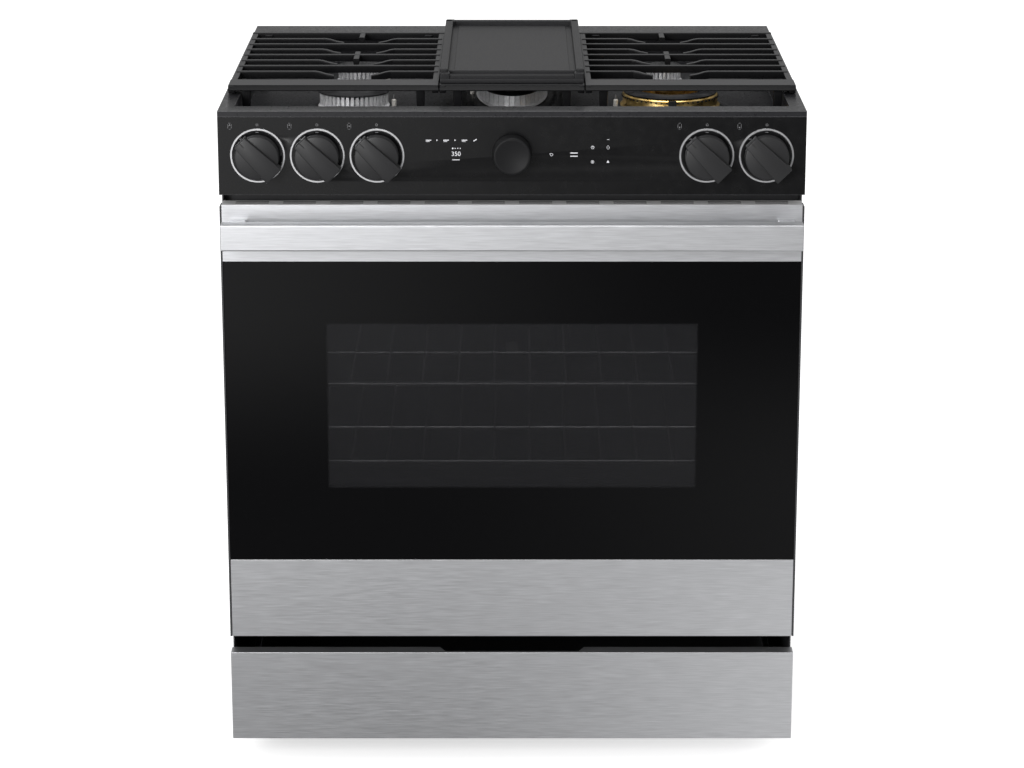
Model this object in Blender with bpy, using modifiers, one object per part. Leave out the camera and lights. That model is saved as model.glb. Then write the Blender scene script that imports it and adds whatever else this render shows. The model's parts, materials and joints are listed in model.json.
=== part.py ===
"""A freestanding gas range: cooktop with five burners and grates, oven with a drop-down door, storage drawer.

Metres, +Z up, +X to the right of someone facing the range, +Y towards the wall. The origin is on the floor
under the middle of the whole range. Depths are measured back from the plane of the door's front face.
"""

import math

import bmesh
import bpy
from mathutils import Matrix, Vector

for leftover in list(bpy.data.objects):
    bpy.data.objects.remove(leftover, do_unlink=True)

# Overall sizes
WIDTH = 0.759
COOKTOP_DEPTH = 0.668  # front plane to the back edge of the rear trim
RIM_TOP = 0.906
FOOT_HEIGHT = 0.040
HANDLE_REACH = 0.053  # how far the handle stands out of the front plane
FRONT_Y = (HANDLE_REACH - COOKTOP_DEPTH) / 2
HALF = WIDTH / 2

# Materials' thicknesses and the gap that touching pieces keep
SEAT = 0.0003
SHEET = 0.002
CAVITY_WALL = 0.0015
GLASS = 0.004

# Body
SIDE_SETBACK = 0.001  # side panels stand this far inside the front's width
SIDE_FRONT = 0.030
REAR_OVERHANG = 0.018
BODY_BACK = COOKTOP_DEPTH - REAR_OVERHANG
BODY_HALF = HALF - SIDE_SETBACK - SHEET - SEAT  # what fits between the side panels
BASE_THICKNESS = 0.004
BASE_RIM = 0.110
FOOT_RADIUS = 0.018
FOOT_PAD = 0.012
STUD_RADIUS = 0.006
FOOT_INSET = 0.045
FRONT_FOOT_DEPTH = 0.150
REAR_FOOT_INSET = 0.050

# Cooktop
RIM_THICKNESS = 0.007
FRONT_RIM = 0.0345
SIDE_RIM = 0.020
REAR_TRIM = 0.064
REAR_FLANGE = 0.030
PAN_DEPTH = 0.042
PAN_BACK = COOKTOP_DEPTH - REAR_TRIM - SEAT
PAN_FLOOR = RIM_TOP - PAN_DEPTH

# Control panel and its knobs
PANEL_HEIGHT = 0.1027
PANEL_SKIN = 0.004
PANEL_DEPTH = SIDE_FRONT - SEAT
PANEL_TOP = RIM_TOP - RIM_THICKNESS - SEAT
PANEL_BOTTOM = PANEL_TOP - PANEL_HEIGHT
KNOB_EDGE = 0.0512  # panel's end to the outermost knob's axis
KNOB_PITCH = 0.077
RING_RADIUS = 0.0355
RING_WIDTH = 0.0032
RING_HEIGHT = 0.0012
KNOB_RADIUS = 0.0285
KNOB_BACK = 0.0035
KNOB_DISC_FRONT = 0.0200
GRIP_BACK = 0.0085
GRIP_FRONT = 0.0270
GRIP_TIP = 0.031
GRIP_TIP_WIDTH = 0.019
GRIP_TAIL = 0.035
GRIP_TAIL_WIDTH = 0.027
GRIP_ANGLE = math.radians(135)
STEM_RADIUS = 0.004
STEM_PLAY = 0.0005
STEM_FRONT = 0.015
STEM_BACK = 0.047
PUSH_TRAVEL = 0.003
DIAL_BASE_RADIUS = 0.0255
DIAL_FACE_RADIUS = 0.0237
DIAL_BACK = 0.002
DIAL_FRONT = 0.023
DIAL_ABOVE_KNOBS = 0.003
POST_RADIUS = 0.003

# Gas supply
PIPE_RADIUS = 0.0095
PIPE_DEPTH = 0.066
VALVE_RADIUS = 0.011
VALVE_ROOM = 0.003  # between the valves and the pan above them
KNOB_HEIGHT = PAN_FLOOR - SHEET - VALVE_ROOM - VALVE_RADIUS
VALVE_FRONT = 0.040
SUPPLY_INSET = 0.0795
SUPPLY_STUB = 0.009

# Drawer
DRAWER_HEIGHT = 0.1248
DRAWER_RETURN = 0.0216
DRAWER_SKIN = 0.003
NOTCH_HALF = 0.102
NOTCH_SLOPE = 0.012
NOTCH_START = 0.006
DRAWER_TOP = FOOT_HEIGHT + DRAWER_HEIGHT
RAIL_TOP = 0.100
RAIL_WIDTH = 0.006
RAIL_INSET = 0.022
RAIL_END = 0.050
RUNNER = 0.003
TRAY_FLOOR = 0.056
TRAY_TOP = 0.150
TRAY_BACK_INSET = 0.090

# Door
DRAWER_GAP = 0.0232
PANEL_GAP = 0.013
DOOR_BOTTOM = DRAWER_TOP + DRAWER_GAP
DOOR_TOP = PANEL_BOTTOM - PANEL_GAP
SHELL_DEPTH = 0.0235
SHELL_EDGE = 0.0024  # black edge that shows beside the steel and the glass
SKIN_HALF = HALF - SHELL_EDGE - SEAT
SHELL_PLATE = 0.0035
TOP_STRIP = 0.0756
TOP_RETURN = 0.026
LOWER_STRIP = 0.109
LINER_DEPTH = 0.048
LINER_INSET = 0.0295
LINER_BOTTOM = 0.017
LINER_TOP = 0.008
WINDOW_HALF = 0.245
WINDOW_ABOVE = 0.209  # door's bottom edge to the window's
WINDOW_BELOW = 0.158  # window's top edge to the door's
PANE_LAP = 0.008
SLOT_PITCH = 0.0614
SLOT_LENGTH = 0.043
SLOT_WIDTH = 0.004
SLOT_ROWS = (0.0105, 0.0185)
PIVOT_DEPTH = 0.0245
PIVOT_Z = DOOR_BOTTOM + 0.0045
BARREL_RADIUS = 0.004
HINGE_INSET = 0.0405
BARREL_HALF = 0.009
ARM_HALF = 0.004
ARM_BACK = 0.085

# Handle
BAR_HEIGHT = 0.034
BAR_DEPTH = 0.023
BAR_END = 0.0047
BAR_BELOW_TOP = 0.0155
POST_WIDTH = 0.022
POST_INSET = 0.0185
POST_SHORTER = 0.0045

# Oven
FRAME_FRONT = 0.052
FRAME_THICKNESS = 0.006
FRAME_BOTTOM = DRAWER_TOP + 0.0052
FRAME_TOP = PANEL_BOTTOM - 0.006
OPENING_INSET = 0.0645
OPENING_ABOVE = 0.042
OPENING_BELOW = 0.043
OPENING_HALF = HALF - OPENING_INSET
OPENING_LOW = DOOR_BOTTOM + OPENING_ABOVE
OPENING_HIGH = DOOR_TOP - OPENING_BELOW
CAVITY_LIP = 0.005
CAVITY_HALF = OPENING_HALF - CAVITY_LIP
CAVITY_LOW = OPENING_LOW + CAVITY_LIP
CAVITY_HIGH = OPENING_HIGH - CAVITY_LIP
CAVITY_FRONT = FRAME_FRONT + FRAME_THICKNESS + SEAT
CAVITY_BACK = BODY_BACK - 0.095
GASKET_WIDTH = 0.010
GASKET_INSET = 0.002
LEDGE_FIRST = 0.065
LEDGE_PITCH = 0.0542
LEDGE_REACH = 0.008
LEDGE_THICKNESS = 0.005
LEDGE_END = 0.018
UPPER_SHELF = 4
LOWER_SHELF = 2

# Racks
RACK_WALL_GAP = 0.0025
RACK_ROD = 0.005
RACK_WIRE = 0.0034
RACK_FRONT = 0.080
RACK_MIDDLE = 0.242
RACK_BACK_INSET = 0.077
WIRE_PITCH = 0.0484
RACK_SEAT = 0.0005

# Oven burners and convection fan
BAKE_RADIUS = 0.008
BAKE_HALF = 0.150
BAKE_BELOW_CAVITY = 0.014
BROIL_RADIUS = 0.006
BROIL_HALF = 0.140
BROIL_BELOW_TOP = 0.018
BURNER_FRONT_INSET = 0.070
BURNER_BACK_INSET = 0.100
FAN_ABOVE_FLOOR = 0.210
FAN_RADIUS = 0.065
FAN_HUB = 0.014
FAN_BLADES = 6
BLADE_THICKNESS = 0.0015
FAN_SHAFT = 0.004
SHAFT_PLAY = 0.0015
FAN_DEPTH = 0.012
FAN_CLEARANCE = 0.003
COVER_RADIUS = 0.090
COVER_WALL = 0.0015
COVER_HOLE = 0.010
MOTOR_RADIUS = 0.030
MOTOR_LENGTH = 0.045
MOTOR_GAP = 0.008

# Cooktop burners
BURNER_EDGE = 0.164  # range's side to the side burners' axes
FRONT_BURNER = 0.250
REAR_BURNER_INSET = 0.1637
HEAD_HEIGHT = 0.017
CAP_HEIGHT = 0.0077
THROAT_RADIUS = 0.012
THROAT_PLAY = 0.002
THROAT_LENGTH = 0.016
CROWN_RADIUS = 0.020
CROWN_HEIGHT = 0.014
OVAL_HALF = 0.049
OVAL_STRETCH = 2.6
CENTRE_BURNER_SHIFT = 0.010

# Grates and griddle
GRATE_EDGE = 0.004
GRATE_RISE = 0.012
GRATE_TOP = RIM_TOP + GRATE_RISE
CENTRE_GRATE = 0.193
GRATE_GAP = 0.001
GRATE_FRONT = 0.116
FRONT_BAR = 0.0465
GRATE_BACK = PAN_BACK - 0.0587
BAR_SINK = 0.003
BAR_WIDE = 0.008
BACK_BAR = 0.014
FRONT_PLATE = 0.006
FIRST_BAR = 0.225
LAST_BAR_INSET = 0.059
BARS = 7
FINGER_GAP = 0.050
LEG = 0.012
LEG_INSET = SIDE_RIM - GRATE_EDGE + 0.002  # outer legs stand just inside the pan
GRIDDLE_FRONT = 0.130
GRIDDLE_HEIGHT = 0.0177
GRIDDLE_WALL = 0.008
GRIDDLE_FLOOR = 0.010
GRIDDLE_LEDGE = 0.024

FINISHES = {
    # name: (colour, metallic, roughness)
    "brushed_steel": ((0.56, 0.57, 0.60), 1.0, 0.30),
    "black_enamel": ((0.020, 0.020, 0.023), 0.0, 0.18),
    "black_glass": ((0.012, 0.012, 0.014), 0.0, 0.05),
    "window_glass": ((0.10, 0.10, 0.11), 0.0, 0.06),
    "cast_iron": ((0.030, 0.030, 0.032), 0.0, 0.62),
    "knob_black": ((0.030, 0.030, 0.033), 0.1, 0.38),
    "oven_enamel": ((0.045, 0.047, 0.055), 0.0, 0.35),
    "body_paint": ((0.060, 0.060, 0.065), 0.2, 0.50),
    "chrome_wire": ((0.70, 0.70, 0.72), 1.0, 0.18),
    "burner_alloy": ((0.60, 0.60, 0.61), 1.0, 0.38),
    "burner_brass": ((0.72, 0.55, 0.27), 1.0, 0.30),
    "gasket_fibre": ((0.10, 0.10, 0.10), 0.0, 0.90),
    "zinc": ((0.50, 0.50, 0.50), 1.0, 0.45),
}


def finish_material(name):
    colour, metallic, roughness = FINISHES[name]
    material = bpy.data.materials.get(name) or bpy.data.materials.new(name)
    material.use_nodes = True
    shader = material.node_tree.nodes["Principled BSDF"]
    shader.inputs["Base Color"].default_value = (*colour, 1.0)
    shader.inputs["Metallic"].default_value = metallic
    shader.inputs["Roughness"].default_value = roughness
    return material


PARTS = bpy.data.collections.new("gas range")
TOOLS = bpy.data.collections.new("cutters")
TOOLS.hide_render = True
bpy.context.scene.collection.children.link(PARTS)
bpy.context.scene.collection.children.link(TOOLS)


# Shapes. Every y is a depth behind the front plane.


def box(x, y, z):
    """A box that spans three (low, high) ranges."""
    shape = bmesh.new()
    bmesh.ops.create_cube(shape, size=1.0)
    low = Vector((x[0], FRONT_Y + y[0], z[0]))
    high = Vector((x[1], FRONT_Y + y[1], z[1]))
    bmesh.ops.scale(shape, vec=high - low, verts=shape.verts)
    bmesh.ops.translate(shape, vec=(low + high) / 2, verts=shape.verts)
    return shape


def rod(axis, at, span, radius, end_radius=None, sides=24):
    """A round bar along X, Y or Z. at is a point on its axis, and span is where it starts and ends."""
    shape = bmesh.new()
    bmesh.ops.create_cone(
        shape,
        cap_ends=True,
        segments=sides,
        radius1=radius,
        radius2=end_radius or radius,
        depth=span[1] - span[0],
    )
    turns = {"X": Matrix.Rotation(math.pi / 2, 3, "Y"), "Y": Matrix.Rotation(-math.pi / 2, 3, "X")}
    if axis in turns:
        bmesh.ops.rotate(shape, matrix=turns[axis], verts=shape.verts)
    centre = Vector(at)
    centre["XYZ".index(axis)] = (span[0] + span[1]) / 2
    centre.y += FRONT_Y
    bmesh.ops.translate(shape, vec=centre, verts=shape.verts)
    return shape


def about(shape, centre, matrix):
    """Turns or scales a shape about a point given with its depth."""
    pivot = Vector((centre[0], FRONT_Y + centre[1], centre[2]))
    bmesh.ops.transform(
        shape,
        matrix=Matrix.Translation(pivot) @ matrix @ Matrix.Translation(-pivot),
        verts=shape.verts,
    )
    return shape


def mesh_object(name, shape, collection, parent=None):
    if parent:
        origin = parent.matrix_world.translation.copy()
    else:
        corners = [vertex.co for vertex in shape.verts]
        origin = sum(corners, Vector()) / len(corners)
    bmesh.ops.translate(shape, vec=-origin, verts=shape.verts)
    mesh = bpy.data.meshes.new(name)
    shape.to_mesh(mesh)
    shape.free()
    made = bpy.data.objects.new(name, mesh)
    collection.objects.link(made)
    if parent:
        made.parent = parent
    else:
        made.location = origin
    return made


def piece(name, shape, finish, mover=None, round_piece=False):
    """One sub-part. With a mover, its origin is on the joint's axis."""
    made = mesh_object(name, shape, PARTS, mover)
    made.data.materials.append(finish_material(finish))
    if round_piece:
        made.data.shade_smooth()
        made.data.set_sharp_from_angle(angle=math.radians(35))
    return made


def combine(target, operation, shapes):
    """One Boolean for a whole group of shapes."""
    group = bpy.data.collections.new(f"{target.name} {operation.lower()}")
    TOOLS.children.link(group)
    for number, shape in enumerate(shapes):
        helper = mesh_object(f"{target.name}_{operation.lower()}_{number}", shape, group)
        helper.hide_render = True
        helper.display_type = "WIRE"
    modifier = target.modifiers.new(operation.title(), "BOOLEAN")
    modifier.operation = operation
    modifier.operand_type = "COLLECTION"
    modifier.collection = group
    modifier.solver = "EXACT"


def join(target, shapes):
    combine(target, "UNION", shapes)


def cut(target, shapes):
    combine(target, "DIFFERENCE", shapes)


def round_edges(target, width, segments=2):
    modifier = target.modifiers.new("Rounded edges", "BEVEL")
    modifier.width = width
    modifier.segments = segments
    modifier.limit_method = "ANGLE"
    modifier.angle_limit = math.radians(50)


def mover(name, at, parent=None):
    """An empty on a joint's axis, at a point given with its depth."""
    made = bpy.data.objects.new(name, None)
    PARTS.objects.link(made)
    made.empty_display_size = 0.03
    made.parent = parent
    home = parent.matrix_world.translation if parent else Vector()
    made.location = Vector((at[0], FRONT_Y + at[1], at[2])) - home
    bpy.context.view_layer.update()
    return made


# Body


def make_body():
    side_outer = HALF - SIDE_SETBACK
    for name, side in (("side_panel_left", -1), ("side_panel_right", 1)):
        x = sorted((side * side_outer, side * (side_outer - SHEET)))
        piece(name, box(x, (SIDE_FRONT, BODY_BACK), (FOOT_HEIGHT + SEAT, PANEL_TOP)), "body_paint")
    back = piece(
        "back_panel",
        box(
            (-BODY_HALF, BODY_HALF),
            (BODY_BACK - SHEET, BODY_BACK),
            (FOOT_HEIGHT + BASE_THICKNESS + 2 * SEAT, PANEL_TOP),
        ),
        "zinc",
    )
    supply = (HALF - SUPPLY_INSET, 0, KNOB_HEIGHT)
    hole = PIPE_RADIUS + STEM_PLAY
    cut(back, [rod("Y", supply, (BODY_BACK - 0.02, BODY_BACK + 0.02), hole)])
    base_low = FOOT_HEIGHT + SEAT
    base_high = base_low + BASE_THICKNESS
    base = piece(
        "base_frame",
        box((-BODY_HALF, BODY_HALF), (SIDE_FRONT, BODY_BACK), (base_low, base_high)),
        "zinc",
    )
    rails = []
    for side in (-1, 1):
        x = sorted((side * (BODY_HALF - RAIL_INSET), side * (BODY_HALF - RAIL_INSET - RAIL_WIDTH)))
        rails.append(box(x, (FRAME_FRONT, BODY_BACK - RAIL_END), (base_high - 0.001, RAIL_TOP)))
    join(base, rails)
    opening = box(
        (-BODY_HALF + BASE_RIM, BODY_HALF - BASE_RIM),
        (SIDE_FRONT + BASE_RIM, BODY_BACK - BASE_RIM),
        (base_low - 0.01, base_high + 0.01),
    )
    cut(base, [opening])
    rows = (("front", FRONT_FOOT_DEPTH), ("rear", BODY_BACK - REAR_FOOT_INSET))
    for row, depth in rows:
        for hand, side in (("left", -1), ("right", 1)):
            at = (side * (HALF - FOOT_INSET), depth, 0)
            foot = piece(
                f"levelling_foot_{row}_{hand}", rod("Z", at, (0, FOOT_PAD), FOOT_RADIUS), "zinc", None, True
            )
            join(foot, [rod("Z", at, (FOOT_PAD - 0.001, FOOT_HEIGHT), STUD_RADIUS, sides=12)])


def make_front_frame():
    frame_back = FRAME_FRONT + FRAME_THICKNESS
    frame = piece(
        "front_frame",
        box((-BODY_HALF, BODY_HALF), (FRAME_FRONT, frame_back), (FRAME_BOTTOM, FRAME_TOP)),
        "body_paint",
    )
    through = (FRAME_FRONT - 0.01, frame_back + 0.01)
    cuts = [box((-OPENING_HALF, OPENING_HALF), through, (OPENING_LOW, OPENING_HIGH))]
    slot_half = ARM_HALF + 0.0015
    for side in (-1, 1):
        x = side * (HALF - HINGE_INSET)
        cuts.append(
            box((x - slot_half, x + slot_half), through, (PIVOT_Z - slot_half, PIVOT_Z + slot_half))
        )
    cut(frame, cuts)
    inner_half = OPENING_HALF + GASKET_INSET
    outer_half = inner_half + GASKET_WIDTH
    low, high = OPENING_LOW - GASKET_INSET, OPENING_HIGH + GASKET_INSET
    y = (LINER_DEPTH + SEAT, FRAME_FRONT - SEAT)
    gasket = piece(
        "door_gasket",
        box((-outer_half, outer_half), y, (low - GASKET_WIDTH, high + GASKET_WIDTH)),
        "gasket_fibre",
    )
    cut(gasket, [box((-inner_half, inner_half), (y[0] - 0.01, y[1] + 0.01), (low, high))])
    for name, side in (("hinge_arm_left", -1), ("hinge_arm_right", 1)):
        x = side * (HALF - HINGE_INSET)
        at = (x, PIVOT_DEPTH, PIVOT_Z)
        arm = piece(
            name, rod("X", at, (x - BARREL_HALF, x + BARREL_HALF), BARREL_RADIUS), "zinc", None, True
        )
        bar = BARREL_RADIUS - 0.0005
        across = (x - ARM_HALF, x + ARM_HALF)
        join(arm, [box(across, (PIVOT_DEPTH, ARM_BACK), (PIVOT_Z - bar, PIVOT_Z + bar))])


# Oven


def shelf_height(number):
    """Height of a rack's rods on one of the shelf positions."""
    return CAVITY_LOW + LEDGE_FIRST + number * LEDGE_PITCH


def make_cavity():
    outer = CAVITY_HALF + CAVITY_WALL
    fan_z = CAVITY_LOW + FAN_ABOVE_FLOOR
    through_back = (CAVITY_BACK - 0.01, CAVITY_BACK + 0.02)
    cavity = piece(
        "oven_cavity",
        box(
            (-outer, outer),
            (CAVITY_FRONT, CAVITY_BACK + CAVITY_WALL),
            (CAVITY_LOW - CAVITY_WALL, CAVITY_HIGH + CAVITY_WALL),
        ),
        "oven_enamel",
    )
    cut(
        cavity,
        [
            box(
                (-CAVITY_HALF, CAVITY_HALF),
                (CAVITY_FRONT - 0.01, CAVITY_BACK),
                (CAVITY_LOW, CAVITY_HIGH),
            ),
            rod("Y", (0, 0, fan_z), through_back, FAN_SHAFT + SHAFT_PLAY, sides=16),
        ],
    )
    ledges = []
    shelves = int((CAVITY_HIGH - CAVITY_LOW - LEDGE_FIRST) / LEDGE_PITCH)
    for number in range(shelves):
        top = shelf_height(number) - RACK_ROD / 2 - RACK_SEAT
        for side in (-1, 1):
            x = sorted((side * (CAVITY_HALF - LEDGE_REACH), side * (CAVITY_HALF + CAVITY_WALL / 2)))
            y = (CAVITY_FRONT + LEDGE_END, CAVITY_BACK - LEDGE_END)
            ledges.append(box(x, y, (top - LEDGE_THICKNESS, top)))
    join(cavity, ledges)


def tube_object(name, points, radius, finish):
    """A bent tube through points given with their depths, made a mesh."""
    path = bpy.data.curves.new(name, "CURVE")
    path.dimensions = "3D"
    path.bevel_depth = radius
    path.bevel_resolution = 2
    path.use_fill_caps = True
    spline = path.splines.new("POLY")
    spline.points.add(len(points) - 1)
    for point, (x, y, z) in zip(spline.points, points):
        point.co = (x, FRONT_Y + y, z, 1.0)
    guide = bpy.data.objects.new(f"{name}_path", path)
    PARTS.objects.link(guide)
    graph = bpy.context.evaluated_depsgraph_get()
    tube_mesh = bpy.data.meshes.new_from_object(guide.evaluated_get(graph))
    bpy.data.objects.remove(guide)
    shape = bmesh.new()
    shape.from_mesh(tube_mesh)
    bpy.data.meshes.remove(tube_mesh)
    bmesh.ops.remove_doubles(shape, verts=shape.verts, dist=1e-5)
    return piece(name, shape, finish, None, True)


def make_oven_burners():
    front = CAVITY_FRONT + BURNER_FRONT_INSET
    back = CAVITY_BACK - BURNER_BACK_INSET
    z = CAVITY_LOW - CAVITY_WALL - BAKE_BELOW_CAVITY
    bend = 3 * BAKE_RADIUS
    outline = [
        (-BAKE_HALF, back + bend, z),
        (-BAKE_HALF, front + bend, z),
        (-BAKE_HALF + bend, front, z),
        (BAKE_HALF - bend, front, z),
        (BAKE_HALF, front + bend, z),
        (BAKE_HALF, back + bend, z),
    ]
    tube_object("bake_burner", outline, BAKE_RADIUS, "zinc")
    z = CAVITY_HIGH - BROIL_BELOW_TOP
    bend = 3 * BROIL_RADIUS
    outline = [
        (-BROIL_HALF, back, z),
        (-BROIL_HALF, front + bend, z),
        (-BROIL_HALF + bend, front, z),
        (-2 * bend, front, z),
        (-bend, front + bend, z),
        (-bend, back - bend, z),
        (0, back, z),
        (bend, back - bend, z),
        (bend, front + bend, z),
        (2 * bend, front, z),
        (BROIL_HALF - bend, front, z),
        (BROIL_HALF, front + bend, z),
        (BROIL_HALF, back, z),
    ]
    tube_object("broil_burner", outline, BROIL_RADIUS, "zinc")


def make_fan():
    z = CAVITY_LOW + FAN_ABOVE_FLOOR
    at = (0, 0, z)
    fan_back = CAVITY_BACK - FAN_CLEARANCE
    fan_front = fan_back - FAN_DEPTH
    spin = mover("convection_fan_axis", (0, fan_front, z))
    motor_front = CAVITY_BACK + CAVITY_WALL + MOTOR_GAP
    shaft_end = motor_front + MOTOR_LENGTH / 3
    fan = piece("convection_fan", rod("Y", at, (fan_front, fan_back), FAN_HUB), "zinc", spin, True)
    blades = [rod("Y", at, (fan_back - 0.002, shaft_end), FAN_SHAFT, sides=12)]
    for number in range(FAN_BLADES):
        blade = box(
            (-BLADE_THICKNESS / 2, BLADE_THICKNESS / 2),
            (fan_front + 0.001, fan_back - 0.001),
            (z + FAN_HUB - 0.003, z + FAN_RADIUS),
        )
        turn = Matrix.Rotation(number * math.tau / FAN_BLADES, 4, "Y")
        blades.append(about(blade, (0, fan_front, z), turn))
    join(fan, blades)
    cover_front = fan_front - FAN_CLEARANCE - COVER_WALL
    cover = piece(
        "convection_cover",
        rod("Y", at, (cover_front, CAVITY_BACK - SEAT), COVER_RADIUS, sides=32),
        "oven_enamel",
        None,
        True,
    )
    inside = rod("Y", at, (cover_front + COVER_WALL, CAVITY_BACK + 0.01), COVER_RADIUS - COVER_WALL, sides=32)
    holes = [inside, rod("Y", at, (cover_front - 0.01, cover_front + 0.01), COVER_HOLE, sides=12)]
    for number in range(FAN_BLADES):
        angle = number * math.tau / FAN_BLADES
        radius = COVER_RADIUS / 2
        spot = (radius * math.cos(angle), 0, z + radius * math.sin(angle))
        holes.append(rod("Y", spot, (cover_front - 0.01, cover_front + 0.01), COVER_HOLE, sides=12))
    cut(cover, holes)
    motor = piece(
        "fan_motor",
        rod("Y", at, (motor_front, motor_front + MOTOR_LENGTH), MOTOR_RADIUS),
        "zinc",
        None,
        True,
    )
    bore = rod("Y", at, (motor_front - 0.01, shaft_end + 0.002), FAN_SHAFT + SHAFT_PLAY / 2, sides=16)
    cut(motor, [bore])


def make_rack(name, shelf, slide):
    """A rack: two side rods, three cross rods and the long wires on top of them."""
    z = shelf_height(shelf)
    half = CAVITY_HALF - RACK_WALL_GAP
    back = CAVITY_BACK - RACK_BACK_INSET
    rod_z = (z - RACK_ROD / 2, z + RACK_ROD / 2)
    left = box((-half, -half + RACK_ROD), (RACK_FRONT, back), rod_z)
    rack = piece(name, left, "chrome_wire", slide)
    bars = [box((half - RACK_ROD, half), (RACK_FRONT, back), rod_z)]
    cross_z = (z - RACK_ROD / 2 + 0.0004, z + RACK_ROD / 2 - 0.0004)
    cross_half = half - RACK_ROD / 2
    for depth in (RACK_FRONT + RACK_ROD, RACK_MIDDLE, back - RACK_ROD):
        y = (depth - RACK_ROD / 2, depth + RACK_ROD / 2)
        bars.append(box((-cross_half, cross_half), y, cross_z))
    pairs = int((half - 0.02) / WIRE_PITCH + 0.5)
    wire_z = (z - RACK_WIRE / 2 + 0.0012, z + RACK_WIRE / 2 + 0.0012)
    for number in range(-pairs, pairs):
        x = (number + 0.5) * WIRE_PITCH
        y = (RACK_FRONT + RACK_ROD - 0.0015, back - RACK_ROD + 0.0015)
        bars.append(box((x - RACK_WIRE / 2, x + RACK_WIRE / 2), y, wire_z))
    join(rack, bars)


# Cooktop


def make_cooktop(burners):
    inner = HALF - SIDE_RIM
    cooktop = piece(
        "cooktop",
        box((-HALF, HALF), (0, PAN_BACK), (RIM_TOP - RIM_THICKNESS, RIM_TOP)),
        "black_enamel",
    )
    tub = box(
        (-inner - SHEET, inner + SHEET),
        (FRONT_RIM - SHEET, PAN_BACK - SHEET),
        (PAN_FLOOR - SHEET, RIM_TOP - RIM_THICKNESS / 2),
    )
    join(cooktop, [tub])
    cuts = [
        box((-inner, inner), (FRONT_RIM, PAN_BACK - 2 * SHEET), (PAN_FLOOR, RIM_TOP + 0.01)),
    ]
    hole = THROAT_RADIUS + THROAT_PLAY
    for _, x, depth, _, _ in burners:
        cuts.append(rod("Z", (x, depth, 0), (PAN_FLOOR - 0.01, PAN_FLOOR + 0.01), hole))
    cut(cooktop, cuts)
    trim = piece(
        "rear_trim",
        box((-HALF, HALF), (COOKTOP_DEPTH - REAR_TRIM, COOKTOP_DEPTH), (RIM_TOP - RIM_THICKNESS, RIM_TOP)),
        "black_enamel",
    )
    flange = box(
        (-HALF, HALF),
        (COOKTOP_DEPTH - SHEET, COOKTOP_DEPTH),
        (RIM_TOP - REAR_FLANGE, RIM_TOP - RIM_THICKNESS / 2),
    )
    join(trim, [flange])


def stretched(shape, x, depth, stretch):
    if stretch != 1:
        about(shape, (x, depth, 0), Matrix.Diagonal((1, stretch, 1, 1)))
    return shape


def make_burner(name, x, depth, radius, stretch):
    """A head that sits on the pan with its throat in the pan's hole, and a loose cap."""
    head_low = PAN_FLOOR + SEAT
    head_high = head_low + HEAD_HEIGHT
    brass = name == "right_front"
    head_radius = radius - 0.004
    head_shape = rod("Z", (x, depth, 0), (head_low, head_high), head_radius, sides=32)
    head = piece(
        f"burner_head_{name}",
        stretched(head_shape, x, depth, stretch),
        "burner_brass" if brass else "burner_alloy",
        None,
        True,
    )
    throat = [rod("Z", (x, depth, 0), (head_low - THROAT_LENGTH, head_low + 0.004), THROAT_RADIUS)]
    if brass:
        throat.append(rod("Z", (x, depth, 0), (head_high - 0.004, head_high + CROWN_HEIGHT), CROWN_RADIUS))
    join(head, throat)
    cap_low = head_high + SEAT
    cap_shape = rod("Z", (x, depth, 0), (cap_low, cap_low + CAP_HEIGHT), radius, radius - 0.0025, sides=32)
    cap = piece(f"burner_cap_{name}", stretched(cap_shape, x, depth, stretch), "black_enamel", None, True)
    if brass:
        cut(cap, [rod("Z", (x, depth, 0), (cap_low - 0.01, cap_low + 0.02), 2 * CROWN_RADIUS, sides=32)])


def make_grate(name, x_low, x_high, lift, gap_at=None):
    """A cast grate: a wide front bar, side and back bars, cross bars and four legs."""
    bar_low = RIM_TOP + SEAT
    grate = piece(
        name,
        box((x_low, x_high), (GRATE_FRONT, GRATE_FRONT + FRONT_BAR), (GRATE_TOP - FRONT_PLATE, GRATE_TOP)),
        "cast_iron",
        lift,
    )
    full = (bar_low, GRATE_TOP - 0.0006)
    side_y = (GRATE_FRONT + 0.003, GRATE_BACK - 0.003)
    bars = [
        box((x_low + 0.0004, x_low + BAR_WIDE), side_y, full),
        box((x_high - BAR_WIDE, x_high - 0.0004), side_y, full),
        box((x_low, x_high), (GRATE_BACK - BACK_BAR, GRATE_BACK), (bar_low, GRATE_TOP)),
    ]
    first, last = FIRST_BAR, GRATE_BACK - LAST_BAR_INSET
    low = bar_low + BAR_SINK
    for number in range(BARS):
        middle = first + number * (last - first) / (BARS - 1)
        y = (middle - BAR_WIDE / 2, middle + BAR_WIDE / 2)
        if number % 2 or gap_at is None:
            bars.append(box((x_low + 0.002, x_high - 0.002), y, (low, GRATE_TOP)))
        else:
            bars.append(box((x_low + 0.002, gap_at - FINGER_GAP / 2), y, (low, GRATE_TOP)))
            bars.append(box((gap_at + FINGER_GAP / 2, x_high - 0.002), y, (low, GRATE_TOP)))
    for x in (x_low + LEG_INSET, x_high - LEG_INSET - LEG):
        for depth in (GRATE_FRONT + 0.002, GRATE_BACK - 0.002 - LEG):
            leg_z = (PAN_FLOOR + SEAT, GRATE_TOP - 0.003)
            bars.append(box((x, x + LEG), (depth, depth + LEG), leg_z))
    join(grate, bars)


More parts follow.
